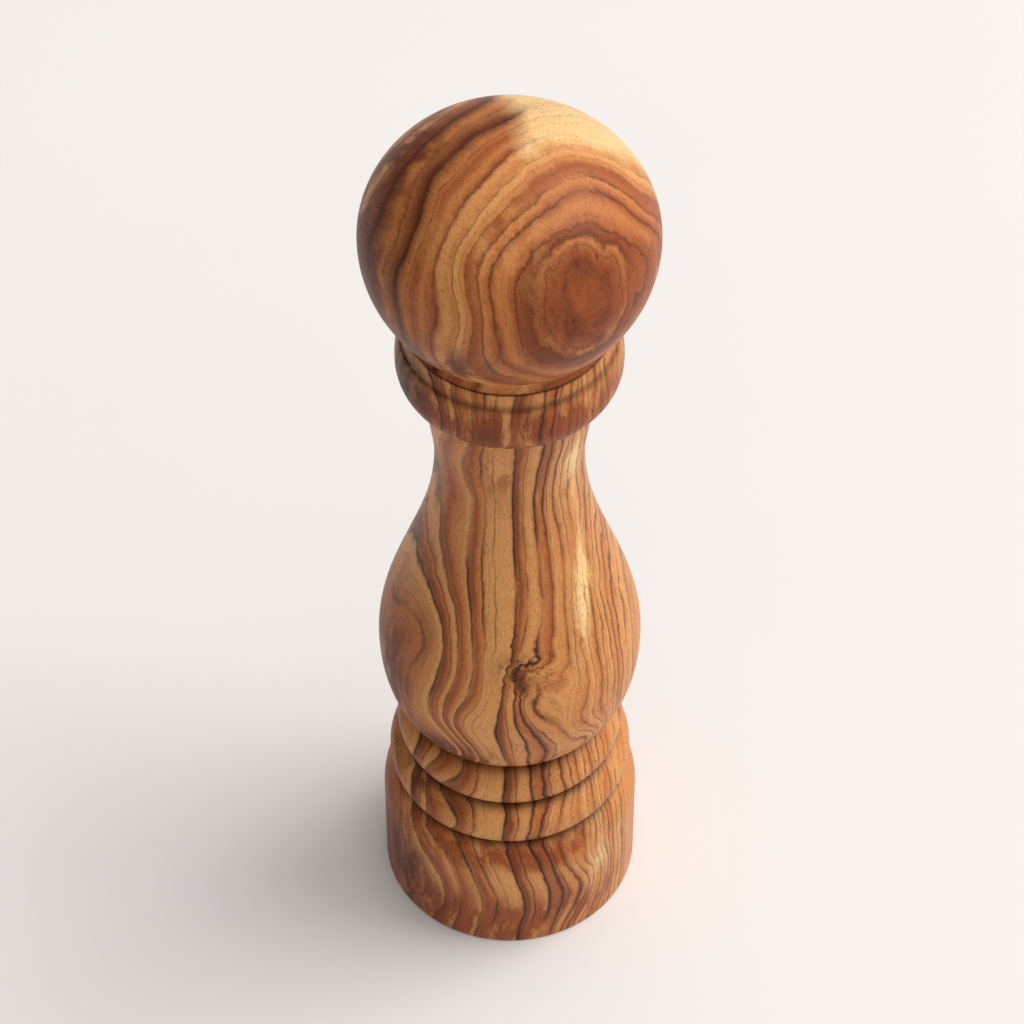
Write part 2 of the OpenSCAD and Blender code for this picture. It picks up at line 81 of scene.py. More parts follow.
# %% The camera
AIM = Vector((0.0005, 0, 0.1176))
DISTANCE = 0.8209
LOOK_DOWN = radians(48.75)
LENS = 135.2

camera = linked("camera", bpy.data.cameras.new("camera"))
camera.data.sensor_width = 36
camera.data.lens = LENS
towards_camera = Vector((0, -cos(LOOK_DOWN), sin(LOOK_DOWN)))
camera.location = AIM + DISTANCE * towards_camera
camera.rotation_euler = towards_camera.to_track_quat("Z", "Y").to_euler()
scene.camera = camera
print(f"The camera is {camera.location.z:.3f} m above the floor")

# %% [markdown]
# ## The light
# The light is a plain studio: a wide soft box high on the right, and a pale room that is bright overhead
# and on the right and dim on the left. Together they give the gentle fall from a bright right side to a
# brown left side, and the short soft shadow at the foot. The Standard view keeps colours as they are
# set, where a filmic view would grey the pale floor.

# %% The light
DIM_SIDE, BRIGHT_SIDE = 0.05, 0.9
BRIGHT_WAY = (0.8, 0.0, 0.6)
scene.view_settings.view_transform = "Standard"

world = bpy.data.worlds.new("studio")
world.use_nodes = True
scene.world = world


def soft_box(name, place, width, power, colour=(1, 1, 1)):
    """A square area light at a place, turned to the middle of the mill."""
    light = linked(name, bpy.data.lights.new(name, "AREA"))
    light.data.size = width
    light.data.energy = power
    light.data.color = colour
    light.location = place
    light.rotation_euler = (Vector(place) - AIM).to_track_quat("Z", "Y").to_euler()
    print(f"{name}: {power} W from a square {width} m wide")


soft_box("key_box", (2.3, 0.5, 3.0), 2.8, 102, (1, 0.985, 0.96))

# %% [markdown]
# ## Building node trees
# Materials and Geometry Nodes are both node trees, and a script that spells out every node and link is
# hard to read. A few helpers make each step one line: a value that is an output socket is linked, and
# anything else is set on the socket.

# %% Helpers for node trees


def add(tree, kind, sockets=None, **settings):
    """Adds a node, sets its properties, and links or sets its input sockets."""
    node = tree.nodes.new(kind)
    for setting, value in settings.items():
        setattr(node, setting, value)
    for key, value in (sockets or {}).items():
        if isinstance(value, bpy.types.NodeSocket):
            tree.links.new(value, node.inputs[key])
        else:
            node.inputs[key].default_value = value
    return node


def maths(tree, operation, *values):
    """The result of a Math node."""
    return add(tree, "ShaderNodeMath", dict(enumerate(values)), operation=operation).outputs[0]


def times(tree, a, b):
    """Two numbers multiplied."""
    return maths(tree, "MULTIPLY", a, b)


def plus(tree, a, b):
    """Two numbers added."""
    return maths(tree, "ADD", a, b)


def vectors(tree, operation, *values):
    """The result of a Vector Math node."""
    node = add(tree, "ShaderNodeVectorMath", dict(enumerate(values)), operation=operation)
    return node.outputs["Value" if operation in ("DOT_PRODUCT", "LENGTH") else "Vector"]


def remap(tree, value, low, high, to_low=0.0, to_high=1.0):
    """Value taken smoothly from one range to another, and held at the ends."""
    sockets = {0: value, 1: low, 2: high, 3: to_low, 4: to_high}
    return add(tree, "ShaderNodeMapRange", sockets, interpolation_type="SMOOTHSTEP").outputs[0]


def noise(tree, point, scale, detail=2.0, roughness=0.5):
    """A Noise texture's value, which stays near a half."""
    sockets = {"Vector": point, "Scale": scale, "Detail": detail, "Roughness": roughness}
    return add(tree, "ShaderNodeTexNoise", sockets).outputs["Fac"]


def swing(tree, point, scale, detail=2.0, roughness=0.5):
    """A Noise texture's value, moved so that it swings either way about zero."""
    return maths(tree, "SUBTRACT", noise(tree, point, scale, detail, roughness), 0.5)


def mixed(tree, amount, below, above, kind="MIX"):
    """Colour below with colour above laid over it."""
    sockets = {0: amount, 6: below, 7: above}
    return add(tree, "ShaderNodeMix", sockets, data_type="RGBA", blend_type=kind).outputs[2]


def new_tree(name, kind, inputs, outputs):
    """A node group with named inputs (name: default) and outputs (names), all numbers unless typed."""
    tree = bpy.data.node_groups.new(name, kind)
    for label, value in inputs.items():
        socket = {float: "Float", int: "Int", tuple: "Vector"}.get(type(value), value)
        made = tree.interface.new_socket(label, in_out="INPUT", socket_type="NodeSocket" + socket)
        if socket in ("Float", "Int", "Vector"):
            made.default_value = value
    for label, socket in outputs.items():
        tree.interface.new_socket(label, in_out="OUTPUT", socket_type="NodeSocket" + socket)
    return tree, add(tree, "NodeGroupInput").outputs, add(tree, "NodeGroupOutput").inputs


def use(tree, group, sockets):
    """Places a shader node group in a tree and returns its outputs."""
    return add(tree, "ShaderNodeGroup", sockets, node_tree=group).outputs


def tone(red, green, blue):
    """A colour given as 0 to 255 screen values, as the linear RGBA that a shader wants."""
    shares = [c / 255 for c in (red, green, blue)]
    linear = [c / 12.92 if c <= 0.04 else ((c + 0.055) / 1.055) ** 2.4 for c in shares]
    return (*linear, 1.0)


# %% [markdown]
# ## The room's light
# The world lights the mill from every side. A dot product of the way a ray looks and the brightest way
# gives one number, which fades the room's strength from the bright side to the dim one.

# %% The room's light


def light_room(tree):
    """A pale room, bright overhead and on the right and dim on the left."""
    background = tree.nodes["Background"]
    way = vectors(tree, "DOT_PRODUCT", add(tree, "ShaderNodeTexCoord").outputs["Generated"], BRIGHT_WAY)
    strength = remap(tree, way, -0.75, 0.9, DIM_SIDE, BRIGHT_SIDE)
    tree.links.new(strength, background.inputs["Strength"])
    background.inputs["Color"].default_value = (1, 0.99, 0.985, 1)


light_room(world.node_tree)

# %% [markdown]
# ## The lathe
# A turned piece is an outline swung round an axis, which is a rule, so Geometry Nodes can make it: a grid
# with one row for each outline point and one column for each step round the circle, whose points are
# moved onto the swung outline and welded where the circle closes. Screw modifiers or Spin do the same,
# but a tree keeps its numbers as named inputs and can be used again for the screws.

# %% The lathe tree


def whole(tree, operation, a, b):
    """The result of an Integer Math node."""
    return add(tree, "FunctionNodeIntegerMath", {0: a, 1: b}, operation=operation).outputs[0]


def finish_tree(tree, put, geometry, finish):
    """Ends a tree: makes copies real, gives them their material, and puts them out."""
    real = add(tree, "GeometryNodeRealizeInstances", {"Geometry": geometry}).outputs[0]
    dressed = add(tree, "GeometryNodeSetMaterial", {"Geometry": real, "Material": finish}).outputs[0]
    tree.links.new(dressed, put["Geometry"])
    return tree


def lathe_tree():
    """Swings the input mesh's points, which lie in the XZ plane in order, about the Z axis."""
    tree, given, put = new_tree(
        "lathe",
        "GeometryNodeTree",
        {"Outline": "Geometry", "Steps round": 96, "Weld": 1e-6, "Finish": "Material"},
        {"Geometry": "Geometry"},
    )
    size = add(tree, "GeometryNodeAttributeDomainSize", {"Geometry": given["Outline"]})
    rows = size.outputs["Point Count"]
    columns = whole(tree, "ADD", given["Steps round"], 1)
    grid = add(tree, "GeometryNodeMeshGrid", {"Vertices X": columns, "Vertices Y": rows}).outputs["Mesh"]
    index = add(tree, "GeometryNodeInputIndex").outputs[0]
    column = whole(tree, "DIVIDE_FLOOR", index, rows)
    row = whole(tree, "MODULO", index, rows)
    position = add(tree, "GeometryNodeInputPosition").outputs[0]
    picked = add(tree, "GeometryNodeSampleIndex", data_type="FLOAT_VECTOR")
    tree.links.new(given["Outline"], picked.inputs["Geometry"])
    tree.links.new(position, picked.inputs["Value"])
    tree.links.new(row, picked.inputs["Index"])
    share = maths(tree, "DIVIDE", column, given["Steps round"])
    angle = times(tree, share, 2 * pi)
    turn = {"Vector": picked.outputs["Value"], "Angle": angle}
    swung = add(tree, "ShaderNodeVectorRotate", turn, rotation_type="Z_AXIS").outputs[0]
    placed = add(tree, "GeometryNodeSetPosition", {"Geometry": grid, "Position": swung}).outputs[0]
    weld = {"Geometry": placed, "Distance": given["Weld"]}
    welded = add(tree, "GeometryNodeMergeByDistance", weld).outputs[0]
    smooth = add(tree, "GeometryNodeSetShadeSmooth", {"Geometry": welded}).outputs[0]
    return finish_tree(tree, put, smooth, given["Finish"])


LATHE = lathe_tree()


def plain_mesh_of(source):
    """What an object's modifiers make of its mesh. The object itself is removed."""
    shown = source.evaluated_get(bpy.context.evaluated_depsgraph_get())
    made = bpy.data.meshes.new_from_object(shown)
    bpy.data.objects.remove(source)
    return made


def grown(name, tree, mesh, inputs, crease=radians(35)):
    """Runs a Geometry Nodes tree on a mesh, and returns the result as a plain mesh that faces outwards."""
    source = linked(name + "_source", mesh)
    modifier = source.modifiers.new("grow", "NODES")
    modifier.node_group = tree
    for item in tree.interface.items_tree:
        if item.in_out == "INPUT" and item.name in inputs:
            modifier[item.identifier] = inputs[item.name]
    made = plain_mesh_of(source)
    bm = bmesh.new()
    bm.from_mesh(made)
    bmesh.ops.recalc_face_normals(bm, faces=bm.faces)
    open_edges = sum(not edge.is_manifold for edge in bm.edges)
    volume = bm.calc_volume(signed=True) / MM ** 3
    bm.to_mesh(made)
    bm.free()
    made.set_sharp_from_angle(angle=crease)
    made.name = name
    piece = linked(name, made)
    print(f"{name}: {len(made.polygons)} faces, {open_edges} open edges, {volume / 1000:.2f} cm3")
    return piece


# %% [markdown]
# ## Outlines
# An outline is a list of (radius, height) points in millimetres. Arcs and cubic curves give the round
# stretches as many points as a close view needs. Sharp corners don't exist on sanded wood, so each
# corner is eased: its point gives way to a short bend.

# %% Outline helpers
FINE = 36


def arc(r, z, wide, high, start, end, steps=FINE):
    """Points on an ellipse about (r, z), from one angle to another in degrees."""
    turns = [radians(start + (end - start) * i / steps) for i in range(steps + 1)]
    return [(r + wide * cos(a), z + high * sin(a)) for a in turns]


def curve(a, b, c, d, steps=FINE):
    """A cubic curve from a to d with handles b and c, without its first point."""
    points = []
    for i in range(1, steps + 1):
        t = i / steps
        s = 1 - t
        shares = (s ** 3, 3 * s * s * t, 3 * s * t * t, t ** 3)
        points.append(tuple(sum(w * p[k] for w, p in zip(shares, (a, b, c, d))) for k in (0, 1)))
    return points


def bead(r0, z0, r1, z1, r, steps=FINE):
    """A half-round bead that swells to radius r between two grooves."""
    points = []
    for i in range(steps + 1):
        a = radians(-90 + 180 * i / steps)
        root = r0 if a < 0 else r1
        points.append((root + (r - root) * cos(a), (z0 + z1) / 2 + (z1 - z0) / 2 * sin(a)))
    return points


def eased(points, reach, least_turn=radians(18), steps=5):
    """The outline with every corner that turns sharply swapped for a small bend."""
    out = [points[0]]
    for before, here, after in zip(points, points[1:], points[2:]):
        p, q, s = Vector(before), Vector(here), Vector(after)
        arrive, leave = q - p, s - q
        if arrive.length < 1e-6 or leave.length < 1e-6 or arrive.angle(leave) < least_turn:
            out.append(here)
            continue
        a = q - arrive.normalized() * min(reach, arrive.length * 0.45)
        b = q + leave.normalized() * min(reach, leave.length * 0.45)
        for i in range(steps + 1):
            t = i / steps
            out.append(tuple((1 - t) ** 2 * a + 2 * t * (1 - t) * q + t * t * b))
    return out + [points[-1]]


def outline_mesh(name, points):
    """A mesh of bare points in the XZ plane, in metres, from (radius, height) in millimetres."""
    mesh = bpy.data.meshes.new(name)
    mesh.from_pydata([(r * MM, 0, z * MM) for r, z in points], [], [])
    return mesh


# %% [markdown]
# ## The figure of olive wood
# Olive wood grows slowly and unevenly, so its layers are irregular: pale yellow and amber wood, broad
# brown bands, and thin nearly black veins with a soft brown side. The figure must run through the solid,
# so that it bends over beads and grooves as cut wood does. That rules out a flat image, and asks for one
# number at every point in the wood, its growth in millimetres, from which every colour is read.
#
# Straight growth is a plane across the blank. Swirls, soft bumps at chosen places, lift the growth and
# so bend the layers around knots and eddies. Stretched noise makes every line waver.

# %% Wood groups


def swirl_group():
    """Lift that fades away from a centre, with its own reach along each axis."""
    tree, given, put = new_tree(
        "swirl",
        "ShaderNodeTree",
        {"Point": (0.0, 0.0, 0.0), "Centre": (0.0, 0.0, 0.0), "Reach": (10.0, 10.0, 10.0), "Lift": 1.0},
        {"Lift": "Float"},
    )
    way = vectors(tree, "SUBTRACT", given["Point"], given["Centre"])
    near = vectors(tree, "DIVIDE", way, given["Reach"])
    square = vectors(tree, "DOT_PRODUCT", near, near)
    fade = maths(tree, "EXPONENT", times(tree, square, -1.0))
    tree.links.new(times(tree, fade, given["Lift"]), put["Lift"])
    return tree


def waver_group():
    """Growth's wavering in mm: a broad sway, a ripple and a feathery edge, long along the fibres."""
    tree, given, put = new_tree(
        "waver",
        "ShaderNodeTree",
        {"Fibre point": (0.0, 0.0, 0.0), "Sway": 1.5, "Ripple": 0.7, "Feather": 0.15},
        {"Growth": "Float"},
    )
    total = None
    for scale, detail, amount in ((0.045, 1, "Sway"), (0.16, 2, "Ripple"), (1.1, 3, "Feather")):
        wave = swing(tree, given["Fibre point"], scale, detail)
        part = times(tree, times(tree, wave, given[amount]), 2.0)
        total = part if total is None else plus(tree, total, part)
    tree.links.new(total, put["Growth"])
    return tree


def rings_group():
    """Fine growth rings of uneven width and strength: each darkens slowly and then ends sharply."""
    tree, given, put = new_tree(
        "rings",
        "ShaderNodeTree",
        {"Growth": 0.0, "Width": 1.6, "Seed": 0.0},
        {"Shade": "Float"},
    )
    seeded = plus(tree, given["Growth"], given["Seed"])
    line = {"W": seeded, "Scale": 0.32, "Detail": 1.0}
    uneven = add(tree, "ShaderNodeTexNoise", line, noise_dimensions="1D")
    sway = times(tree, maths(tree, "SUBTRACT", uneven.outputs["Fac"], 0.5), 5.0)
    phase = plus(tree, maths(tree, "DIVIDE", seeded, given["Width"]), sway)
    part = maths(tree, "FRACT", phase)
    number = maths(tree, "FLOOR", phase)
    luck = add(tree, "ShaderNodeTexWhiteNoise", {"W": number}, noise_dimensions="1D").outputs["Value"]
    strength = maths(tree, "POWER", luck, 1.6)
    ending = remap(tree, part, 0.93, 1.0, 1.0, 0.0)
    slow = times(tree, maths(tree, "POWER", part, 2.5), ending)
    tree.links.new(times(tree, slow, strength), put["Shade"])
    return tree


def vein_group():
    """One dark vein at a chosen growth: a thin core, and a brown side that fades towards higher growth."""
    tree, given, put = new_tree(
        "vein",
        "ShaderNodeTree",
        {"Growth": 0.0, "At": 0.0, "Core width": 0.3, "Side width": 1.5},
        {"Core": "Float", "Side": "Float"},
    )
    past = maths(tree, "SUBTRACT", given["Growth"], given["At"])
    near = maths(tree, "DIVIDE", past, given["Core width"])
    core = maths(tree, "EXPONENT", times(tree, times(tree, near, near), -1.0))
    fade = remap(tree, past, 0.0, given["Side width"], 1.0, 0.0)
    begun = remap(tree, past, -0.25, 0.05)
    tree.links.new(core, put["Core"])
    tree.links.new(times(tree, fade, begun), put["Side"])
    return tree


def fibre_group():
    """Fine streaks along the fibres, and the short dark dashes of cut pores."""
    tree, given, put = new_tree(
        "fibres", "ShaderNodeTree", {"Fibre point": (0.0, 0.0, 0.0)}, {"Streak": "Float", "Pore": "Float"}
    )
    long_point = vectors(tree, "MULTIPLY", given["Fibre point"], (1.0, 1.0, 0.25))
    streak = noise(tree, long_point, 2.2, 4, 0.65)
    pores = noise(tree, vectors(tree, "MULTIPLY", given["Fibre point"], (1.0, 1.0, 0.8)), 3.6, 1)
    tree.links.new(times(tree, maths(tree, "SUBTRACT", streak, 0.5), 2.0), put["Streak"])
    tree.links.new(remap(tree, pores, 0.62, 0.72), put["Pore"])
    return tree


def toned_group():
    """A colour made brighter or darker by a value around zero."""
    tree, given, put = new_tree(
        "toned",
        "ShaderNodeTree",
        {"Colour": "Color", "Amount": 0.0},
        {"Colour": "Color"},
    )
    bright = plus(tree, 1.0, given["Amount"])
    shade = add(tree, "ShaderNodeCombineColor", {0: bright, 1: bright, 2: bright}).outputs[0]
    tree.links.new(mixed(tree, 1.0, given["Colour"], shade, "MULTIPLY"), put["Colour"])
    return tree


SWIRL, WAVER, RINGS = swirl_group(), waver_group(), rings_group()
VEIN, FIBRES, TONED = vein_group(), fibre_group(), toned_group()
for group in (SWIRL, WAVER, RINGS, VEIN, FIBRES, TONED):
    print(f"{group.name}: {len(group.nodes)} nodes")

# %% [markdown]
# ## Olive tones
# The wood's colours are few, and each is what oiled olive wood shows under a white lamp. Painted shade
# darkens the bottoms of the turned grooves and the crease below the seam, and a dark line marks the seam.

# %% Olive tones
CREAM = tone(238, 198, 138)
HONEY = tone(216, 152, 90)
AMBER = tone(194, 120, 64)
RUSSET = tone(154, 78, 38)
BROWN = tone(104, 48, 22)
UMBER = tone(44, 20, 10)
# Height, reach and strength of the painted shade in each groove and crease, and of the dark seam line
PAINTED_GROOVE_SHADE_AND_SEAM = [
    (33.6, 0.8, 0.75), (45, 0.8, 0.75), (56.4, 0.9, 0.75), (160, 0.8, 0.6), (173.6, 0.8, 0.5),
    (176.95, 0.35, 0.8),
]
# Width, seed, strength and tone of the broad and the fine growth rings
RING_LAYERS = [(1.35, 40.0, 0.5, BROWN), (0.5, 7.0, 0.26, RUSSET)]
CORE_SHARE, CORE_DARK, SIDE_DARK = 0.9, 0.92, 0.7
PORE_DARK, STREAK_DEPTH = 0.55, 0.34
PATCH_LIFT = 1.6
OILED_ROUGHNESS, OILED_IOR, OILED_GLOSS = 0.42, 1.47, 0.2
print(f"{len(PAINTED_GROOVE_SHADE_AND_SEAM)} grooves and corners hold dirt")

# %% [markdown]
# ## The wood's material
# A piece of wood is told by a figure function: growth, the point along the fibres, a broad colour, and
# the veins and patches to lay over it. The rest is the same for every piece, so it is built once, from
# the broad tones down to the pores.

# %% The wood's material


def swirl(tree, point, centre, reach, lift):
    """A swirl's lift at a point, which fades away from its centre."""
    sockets = {"Point": point, "Centre": centre, "Reach": reach, "Lift": lift}
    return use(tree, SWIRL, sockets)["Lift"]


def lifted(tree, point, growth, swirls):
    """Growth with the lift of every swirl (centre, reach, lift) added to it."""
    for each in swirls:
        growth = plus(tree, growth, swirl(tree, point, *each))
    return growth


def broad_tones(tree, growth, low, high, stops):
    """A colour ramp whose stops are given as (growth in mm, colour)."""
    share = add(tree, "ShaderNodeMapRange", {0: growth, 1: low, 2: high}).outputs[0]
    ramp = add(tree, "ShaderNodeValToRGB", {0: share})
    ends = ramp.color_ramp.elements
    for i, (at, colour) in enumerate(stops):
        place = (at - low) / (high - low)
        stop = ends[i] if i < 2 else ends.new(place)
        stop.position = place
        stop.color = colour
    return ramp.outputs["Color"]


def patched(tree, point, colour, streaks, patches):
    """Colour with soft patches (centre, reach, colour, amount) laid over it, broken up by streaks."""
    for centre, reach, patch, amount in patches:
        share = times(tree, swirl(tree, point, centre, reach, amount * PATCH_LIFT), streaks)
        colour = mixed(tree, remap(tree, share, 0.0, 1.0), colour, patch)
    return colour


def begun_material(name):
    """A new material's tree, its surface shader, and the place on the piece in millimetres."""
    material = bpy.data.materials.new(name)
    material.use_nodes = True
    tree = material.node_tree
    place = add(tree, "ShaderNodeTexCoord").outputs["Object"]
    point = vectors(tree, "MULTIPLY", place, (1000.0, 1000.0, 1000.0))
    return material, tree, tree.nodes["Principled BSDF"], point


def veined(tree, growth, fibre_point, calm, colour, veins):
    """Colour with the veins (growth, core width, side width, strength) laid over it, faded in places."""
    fade = remap(tree, noise(tree, fibre_point, 0.11, 2), 0.34, 0.58, 0.2, 1.0)
    fade = times(tree, fade, maths(tree, "SUBTRACT", 1.0, calm))
    spread = remap(tree, noise(tree, fibre_point, 0.21, 2), 0.3, 0.7, 0.35, 1.9)
    for at, core_width, side_width, strength in veins:
        wide = times(tree, spread, side_width)
        sockets = {"Growth": growth, "At": at, "Core width": CORE_SHARE * core_width, "Side width": wide}
        vein = use(tree, VEIN, sockets)
        for part, dark, shade in (("Side", SIDE_DARK, BROWN), ("Core", CORE_DARK, UMBER)):
            share = times(tree, times(tree, vein[part], dark * strength), fade)
            colour = mixed(tree, share, colour, shade)
    return colour


def wood(name, figure):
    """Oiled olive wood. figure(tree, point) gives growth, fibre point, colour, veins, patches and calm."""
    material, tree, surface, point = begun_material(name)
    growth, fibre_point, colour, veins, patches, calm = figure(tree, point)
    streaks = remap(tree, noise(tree, fibre_point, 0.28, 4, 0.6), 0.3, 0.65, 0.15, 1.2)
    colour = patched(tree, point, colour, streaks, patches)
    for width, seed, strength, shade in RING_LAYERS:
        rings = use(tree, RINGS, {"Growth": growth, "Width": width, "Seed": seed})
        colour = mixed(tree, times(tree, rings["Shade"], strength), colour, shade)
    colour = veined(tree, growth, fibre_point, calm, colour, veins)
    # Painted shade: umber in the grooves and the crease; the last entry is the dark line of the seam.
    for height, reach, strength in PAINTED_GROOVE_SHADE_AND_SEAM:
        painted_shade_and_seam = swirl(tree, point, (0, 0, height), (500, 500, reach), strength)
        colour = mixed(tree, painted_shade_and_seam, colour, UMBER)
    fibres = use(tree, FIBRES, {"Fibre point": fibre_point})
    colour = mixed(tree, times(tree, fibres["Pore"], PORE_DARK), colour, RUSSET, "MULTIPLY")
    bright = times(tree, fibres["Streak"], STREAK_DEPTH)
    colour = use(tree, TONED, {"Colour": colour, "Amount": bright})["Colour"]
    tree.links.new(colour, surface.inputs["Base Color"])
    sheen = plus(tree, OILED_ROUGHNESS, times(tree, fibres["Streak"], 0.10))
    rough = plus(tree, sheen, times(tree, fibres["Pore"], 0.15))
    tree.links.new(rough, surface.inputs["Roughness"])
    height = maths(tree, "SUBTRACT", times(tree, fibres["Streak"], 0.3), fibres["Pore"])
    bump = add(tree, "ShaderNodeBump", {"Height": height, "Strength": 0.12, "Distance": 0.04 * MM})
    tree.links.new(bump.outputs["Normal"], surface.inputs["Normal"])
    surface.inputs["IOR"].default_value = OILED_IOR
    surface.inputs["Specular IOR Level"].default_value = OILED_GLOSS
    print(f"{name}: {len(tree.nodes)} nodes, {len(veins)} veins, {len(patches)} patches")
    return material


# %% [markdown]
# ## The body's figure
# The body was turned from a blank whose layers stand across it, from brown wood on the left to pale wood
# on the right. They sink round an eddy low on the belly's front, and lean over in the base.

# %% The body's wood
BODY_SWIRLS = [
    ((-26, -10, 70), (10, 10, 10), -5.0),
    ((-20, -20, 100), (10, 10, 12), -5.0),
    ((-8, -27, 78), (8, 8, 8), 5.5),
    ((-14, -24, 66), (8, 8, 8), -10.0),
    ((0, -28, 68), (8, 8, 7), 2.5),
    ((4, -28, 88), (7, 7, 12), 6.5),
    ((8, -27, 60), (9, 9, 6), 2.0),
    ((18, -21, 66), (9, 9, 8), -5.0),
    ((20, -20, 85), (10, 10, 14), -3.0),
    ((-9, -13, 136), (6, 6, 9), -2.0),
    ((10, -13, 140), (8, 8, 14), 2.0),
    ((4, -21, 168), (7, 7, 7), 2.5),
    ((-16, -16, 166), (9, 9, 9), -4.5),
    ((0, -25, 50), (12, 12, 7), 2.0),
    ((16, -18, 48), (9, 9, 8), -3.0),
    ((-16, -18, 48), (9, 9, 8), 5.5),
    ((0, -28, 36), (12, 12, 7), 2.5),
    ((18, -20, 34), (9, 9, 8), -3.0),
    ((-18, -20, 34), (9, 9, 8), 4.0),
    ((18, -22, 15), (10, 10, 12), -6.0),
    ((-18, -22, 12), (10, 10, 10), -4.0),
    ((0, -29, 14), (9, 9, 9), -2.5),
]
BODY_TONES = [
    (-34, AMBER), (-28, HONEY), (-25, RUSSET), (-22.5, AMBER), (-18, HONEY), (-16.4, RUSSET), (-15, AMBER),
    (-13.5, HONEY), (-12, RUSSET), (-10.8, AMBER), (-9.3, HONEY), (-8, RUSSET), (-6.8, AMBER), (-5, HONEY),
    (-2, HONEY), (0.6, HONEY), (2.0, RUSSET), (3, AMBER), (5, HONEY), (7.5, AMBER), (9, RUSSET), (9.8, HONEY),
    (11.4, AMBER), (12.4, HONEY), (14, AMBER), (15.6, HONEY), (17, AMBER), (19.4, HONEY), (22, AMBER),
    (25, HONEY), (34, AMBER),
]
BODY_VEINS = [
    (-28, 0.3, 1.6, 0.7), (-22.5, 0.3, 2.4, 0.6), (-17.5, 0.4, 2.0, 0.9), (-15, 0.18, 0.6, 0.6),
    (-13, 0.3, 1.2, 0.6),
    (-9, 0.4, 1.6, 0.9), (-6, 0.26, 1.0, 0.85), (-3.4, 0.14, 0.5, 0.5), (1, 0.4, 2.4, 1.0),
    (3.6, 0.16, 0.6, 0.6),
    (6.5, 0.4, 1.5, 1.0), (8.7, 0.24, 0.8, 0.85), (9.7, 0.16, 0.5, 0.6), (11.5, 0.26, 0.9, 0.8),
    (13, 0.16, 0.5, 0.6), (14.3, 0.16, 0.5, 0.6), (15.8, 0.14, 0.5, 0.5), (17.3, 0.2, 0.7, 0.6),
    (18.6, 0.15, 0.5, 0.5), (20, 0.2, 0.7, 0.7), (21.5, 0.15, 0.6, 0.6), (23, 0.22, 0.9, 0.7),
    (25, 0.2, 0.8, 0.6), (27, 0.3, 1.5, 0.6),
]
BODY_PATCHES = [
    # The collar's russet and brown patches are partly darker wood and partly painted shade under the ball.
    ((0, -20, 167), (40, 20, 6), RUSSET, 0.9),
    ((-4, -22, 166), (14, 9, 7), BROWN, 0.35),
    # Painted shade on the collar's left side, under the ball.
    ((-20, -8, 168), (8, 9, 8), UMBER, 0.7),
    # The base's top is partly russet wood and partly painted shade under the lowest bead.
    ((0, -27, 30), (40, 15, 4), RUSSET, 0.7),
    ((0, -29, 7), (40, 20, 9), RUSSET, 0.8),
    ((-26, -13, 80), (5, 9, 15), BROWN, 0.8),
    ((-14, -25, 64), (12, 9, 7), BROWN, 0.75),
    ((-3, -16, 148), (7, 8, 12), RUSSET, 0.4),
    ((1, -26, 94), (5, 6, 5), BROWN, 0.6),
    ((-25, -14, 12), (8, 12, 16), BROWN, 0.8),
    ((-20, -18, 42), (8, 10, 8), BROWN, 0.5),
    ((15.5, -18, 116), (1.7, 9, 19), CREAM, 0.9),
    ((12.5, -10, 146), (2.4, 9, 14), CREAM, 0.5),
    ((20, -20, 22), (3, 9, 12), CREAM, 0.5),
]


def body_figure(tree, point):
    """Growth rises to the right, a little to the back, and falls slowly with height."""
    slope = vectors(tree, "DOT_PRODUCT", point, (0.99, 0.14, -0.0138))
    growth = plus(tree, slope, 4.3)
    growth = lifted(tree, point, growth, BODY_SWIRLS)
    knot = swirl(tree, point, (3, -26, 95), (7, 9, 6), 14.0)
    jag = swing(tree, point, 0.22, 3, 0.6)
    growth = plus(tree, growth, times(tree, knot, jag))
    parts = add(tree, "ShaderNodeSeparateXYZ", {0: point}).outputs
    along = times(tree, parts["Z"], 0.3)
    layered = add(tree, "ShaderNodeCombineXYZ", {0: growth, 1: parts["Y"], 2: along}).outputs[0]
    waver = use(tree, WAVER, {"Fibre point": layered, "Sway": 1.6, "Ripple": 1.5, "Feather": 0.35})
    growth = plus(tree, growth, waver["Growth"])
    colour = broad_tones(tree, growth, -36, 36, BODY_TONES)
    return growth, layered, colour, BODY_VEINS, BODY_PATCHES, 0.0


BODY_WOOD = wood("olive_body", body_figure)

# %% [markdown]
# ## The head's figure
# The ball was cut beside a branch, so its layers lie like shells around a brown eye on the front, and a
# patch of pale sapwood is left near the top.

# %% The head's wood
EYE = (14, -24, 207)
EYE_WAY = (-0.36, 0.47, -0.12)
HEAD_SWIRLS = [
    ((13, -24, 206), (8, 9, 13), -7.5),
    ((2, -26, 214), (9, 9, 9), -2.0),
    ((-10, -27, 205), (9, 9, 9), 3.0),
    ((-20, -14, 214), (9, 9, 9), 3.0),
    ((-24, -18, 198), (9, 9, 9), 3.5),
    ((4, -26, 188), (9, 9, 9), 1.5),
    ((22, -20, 198), (9, 9, 9), 2.0),
    ((26, -2, 214), (9, 9, 9), 2.0),
    ((-20, 20, 206), (12, 12, 12), 5.0),
    ((-8, 27, 192), (10, 10, 12), -6.0),
    ((-28, 4, 192), (9, 9, 9), 4.0),
    ((2, 22, 216), (10, 10, 9), -4.0),
]
HEAD_TONES = [
    (-5, RUSSET), (-1.5, BROWN), (0.5, RUSSET), (2.4, AMBER), (3.4, BROWN), (4.8, RUSSET), (7.0, AMBER),
    (8.1, RUSSET), (9.4, AMBER), (11.2, RUSSET), (12, AMBER), (13.2, HONEY), (14, AMBER), (15, HONEY),
    (15.8, RUSSET), (17, AMBER), (18.4, RUSSET), (19.4, AMBER), (21.6, BROWN), (24.5, AMBER), (26.5, BROWN),
    (28.5, RUSSET), (31, HONEY), (33, RUSSET), (34, AMBER), (35.4, HONEY), (36.6, RUSSET), (37.6, AMBER),
    (39, HONEY), (41, RUSSET), (44, AMBER),
]
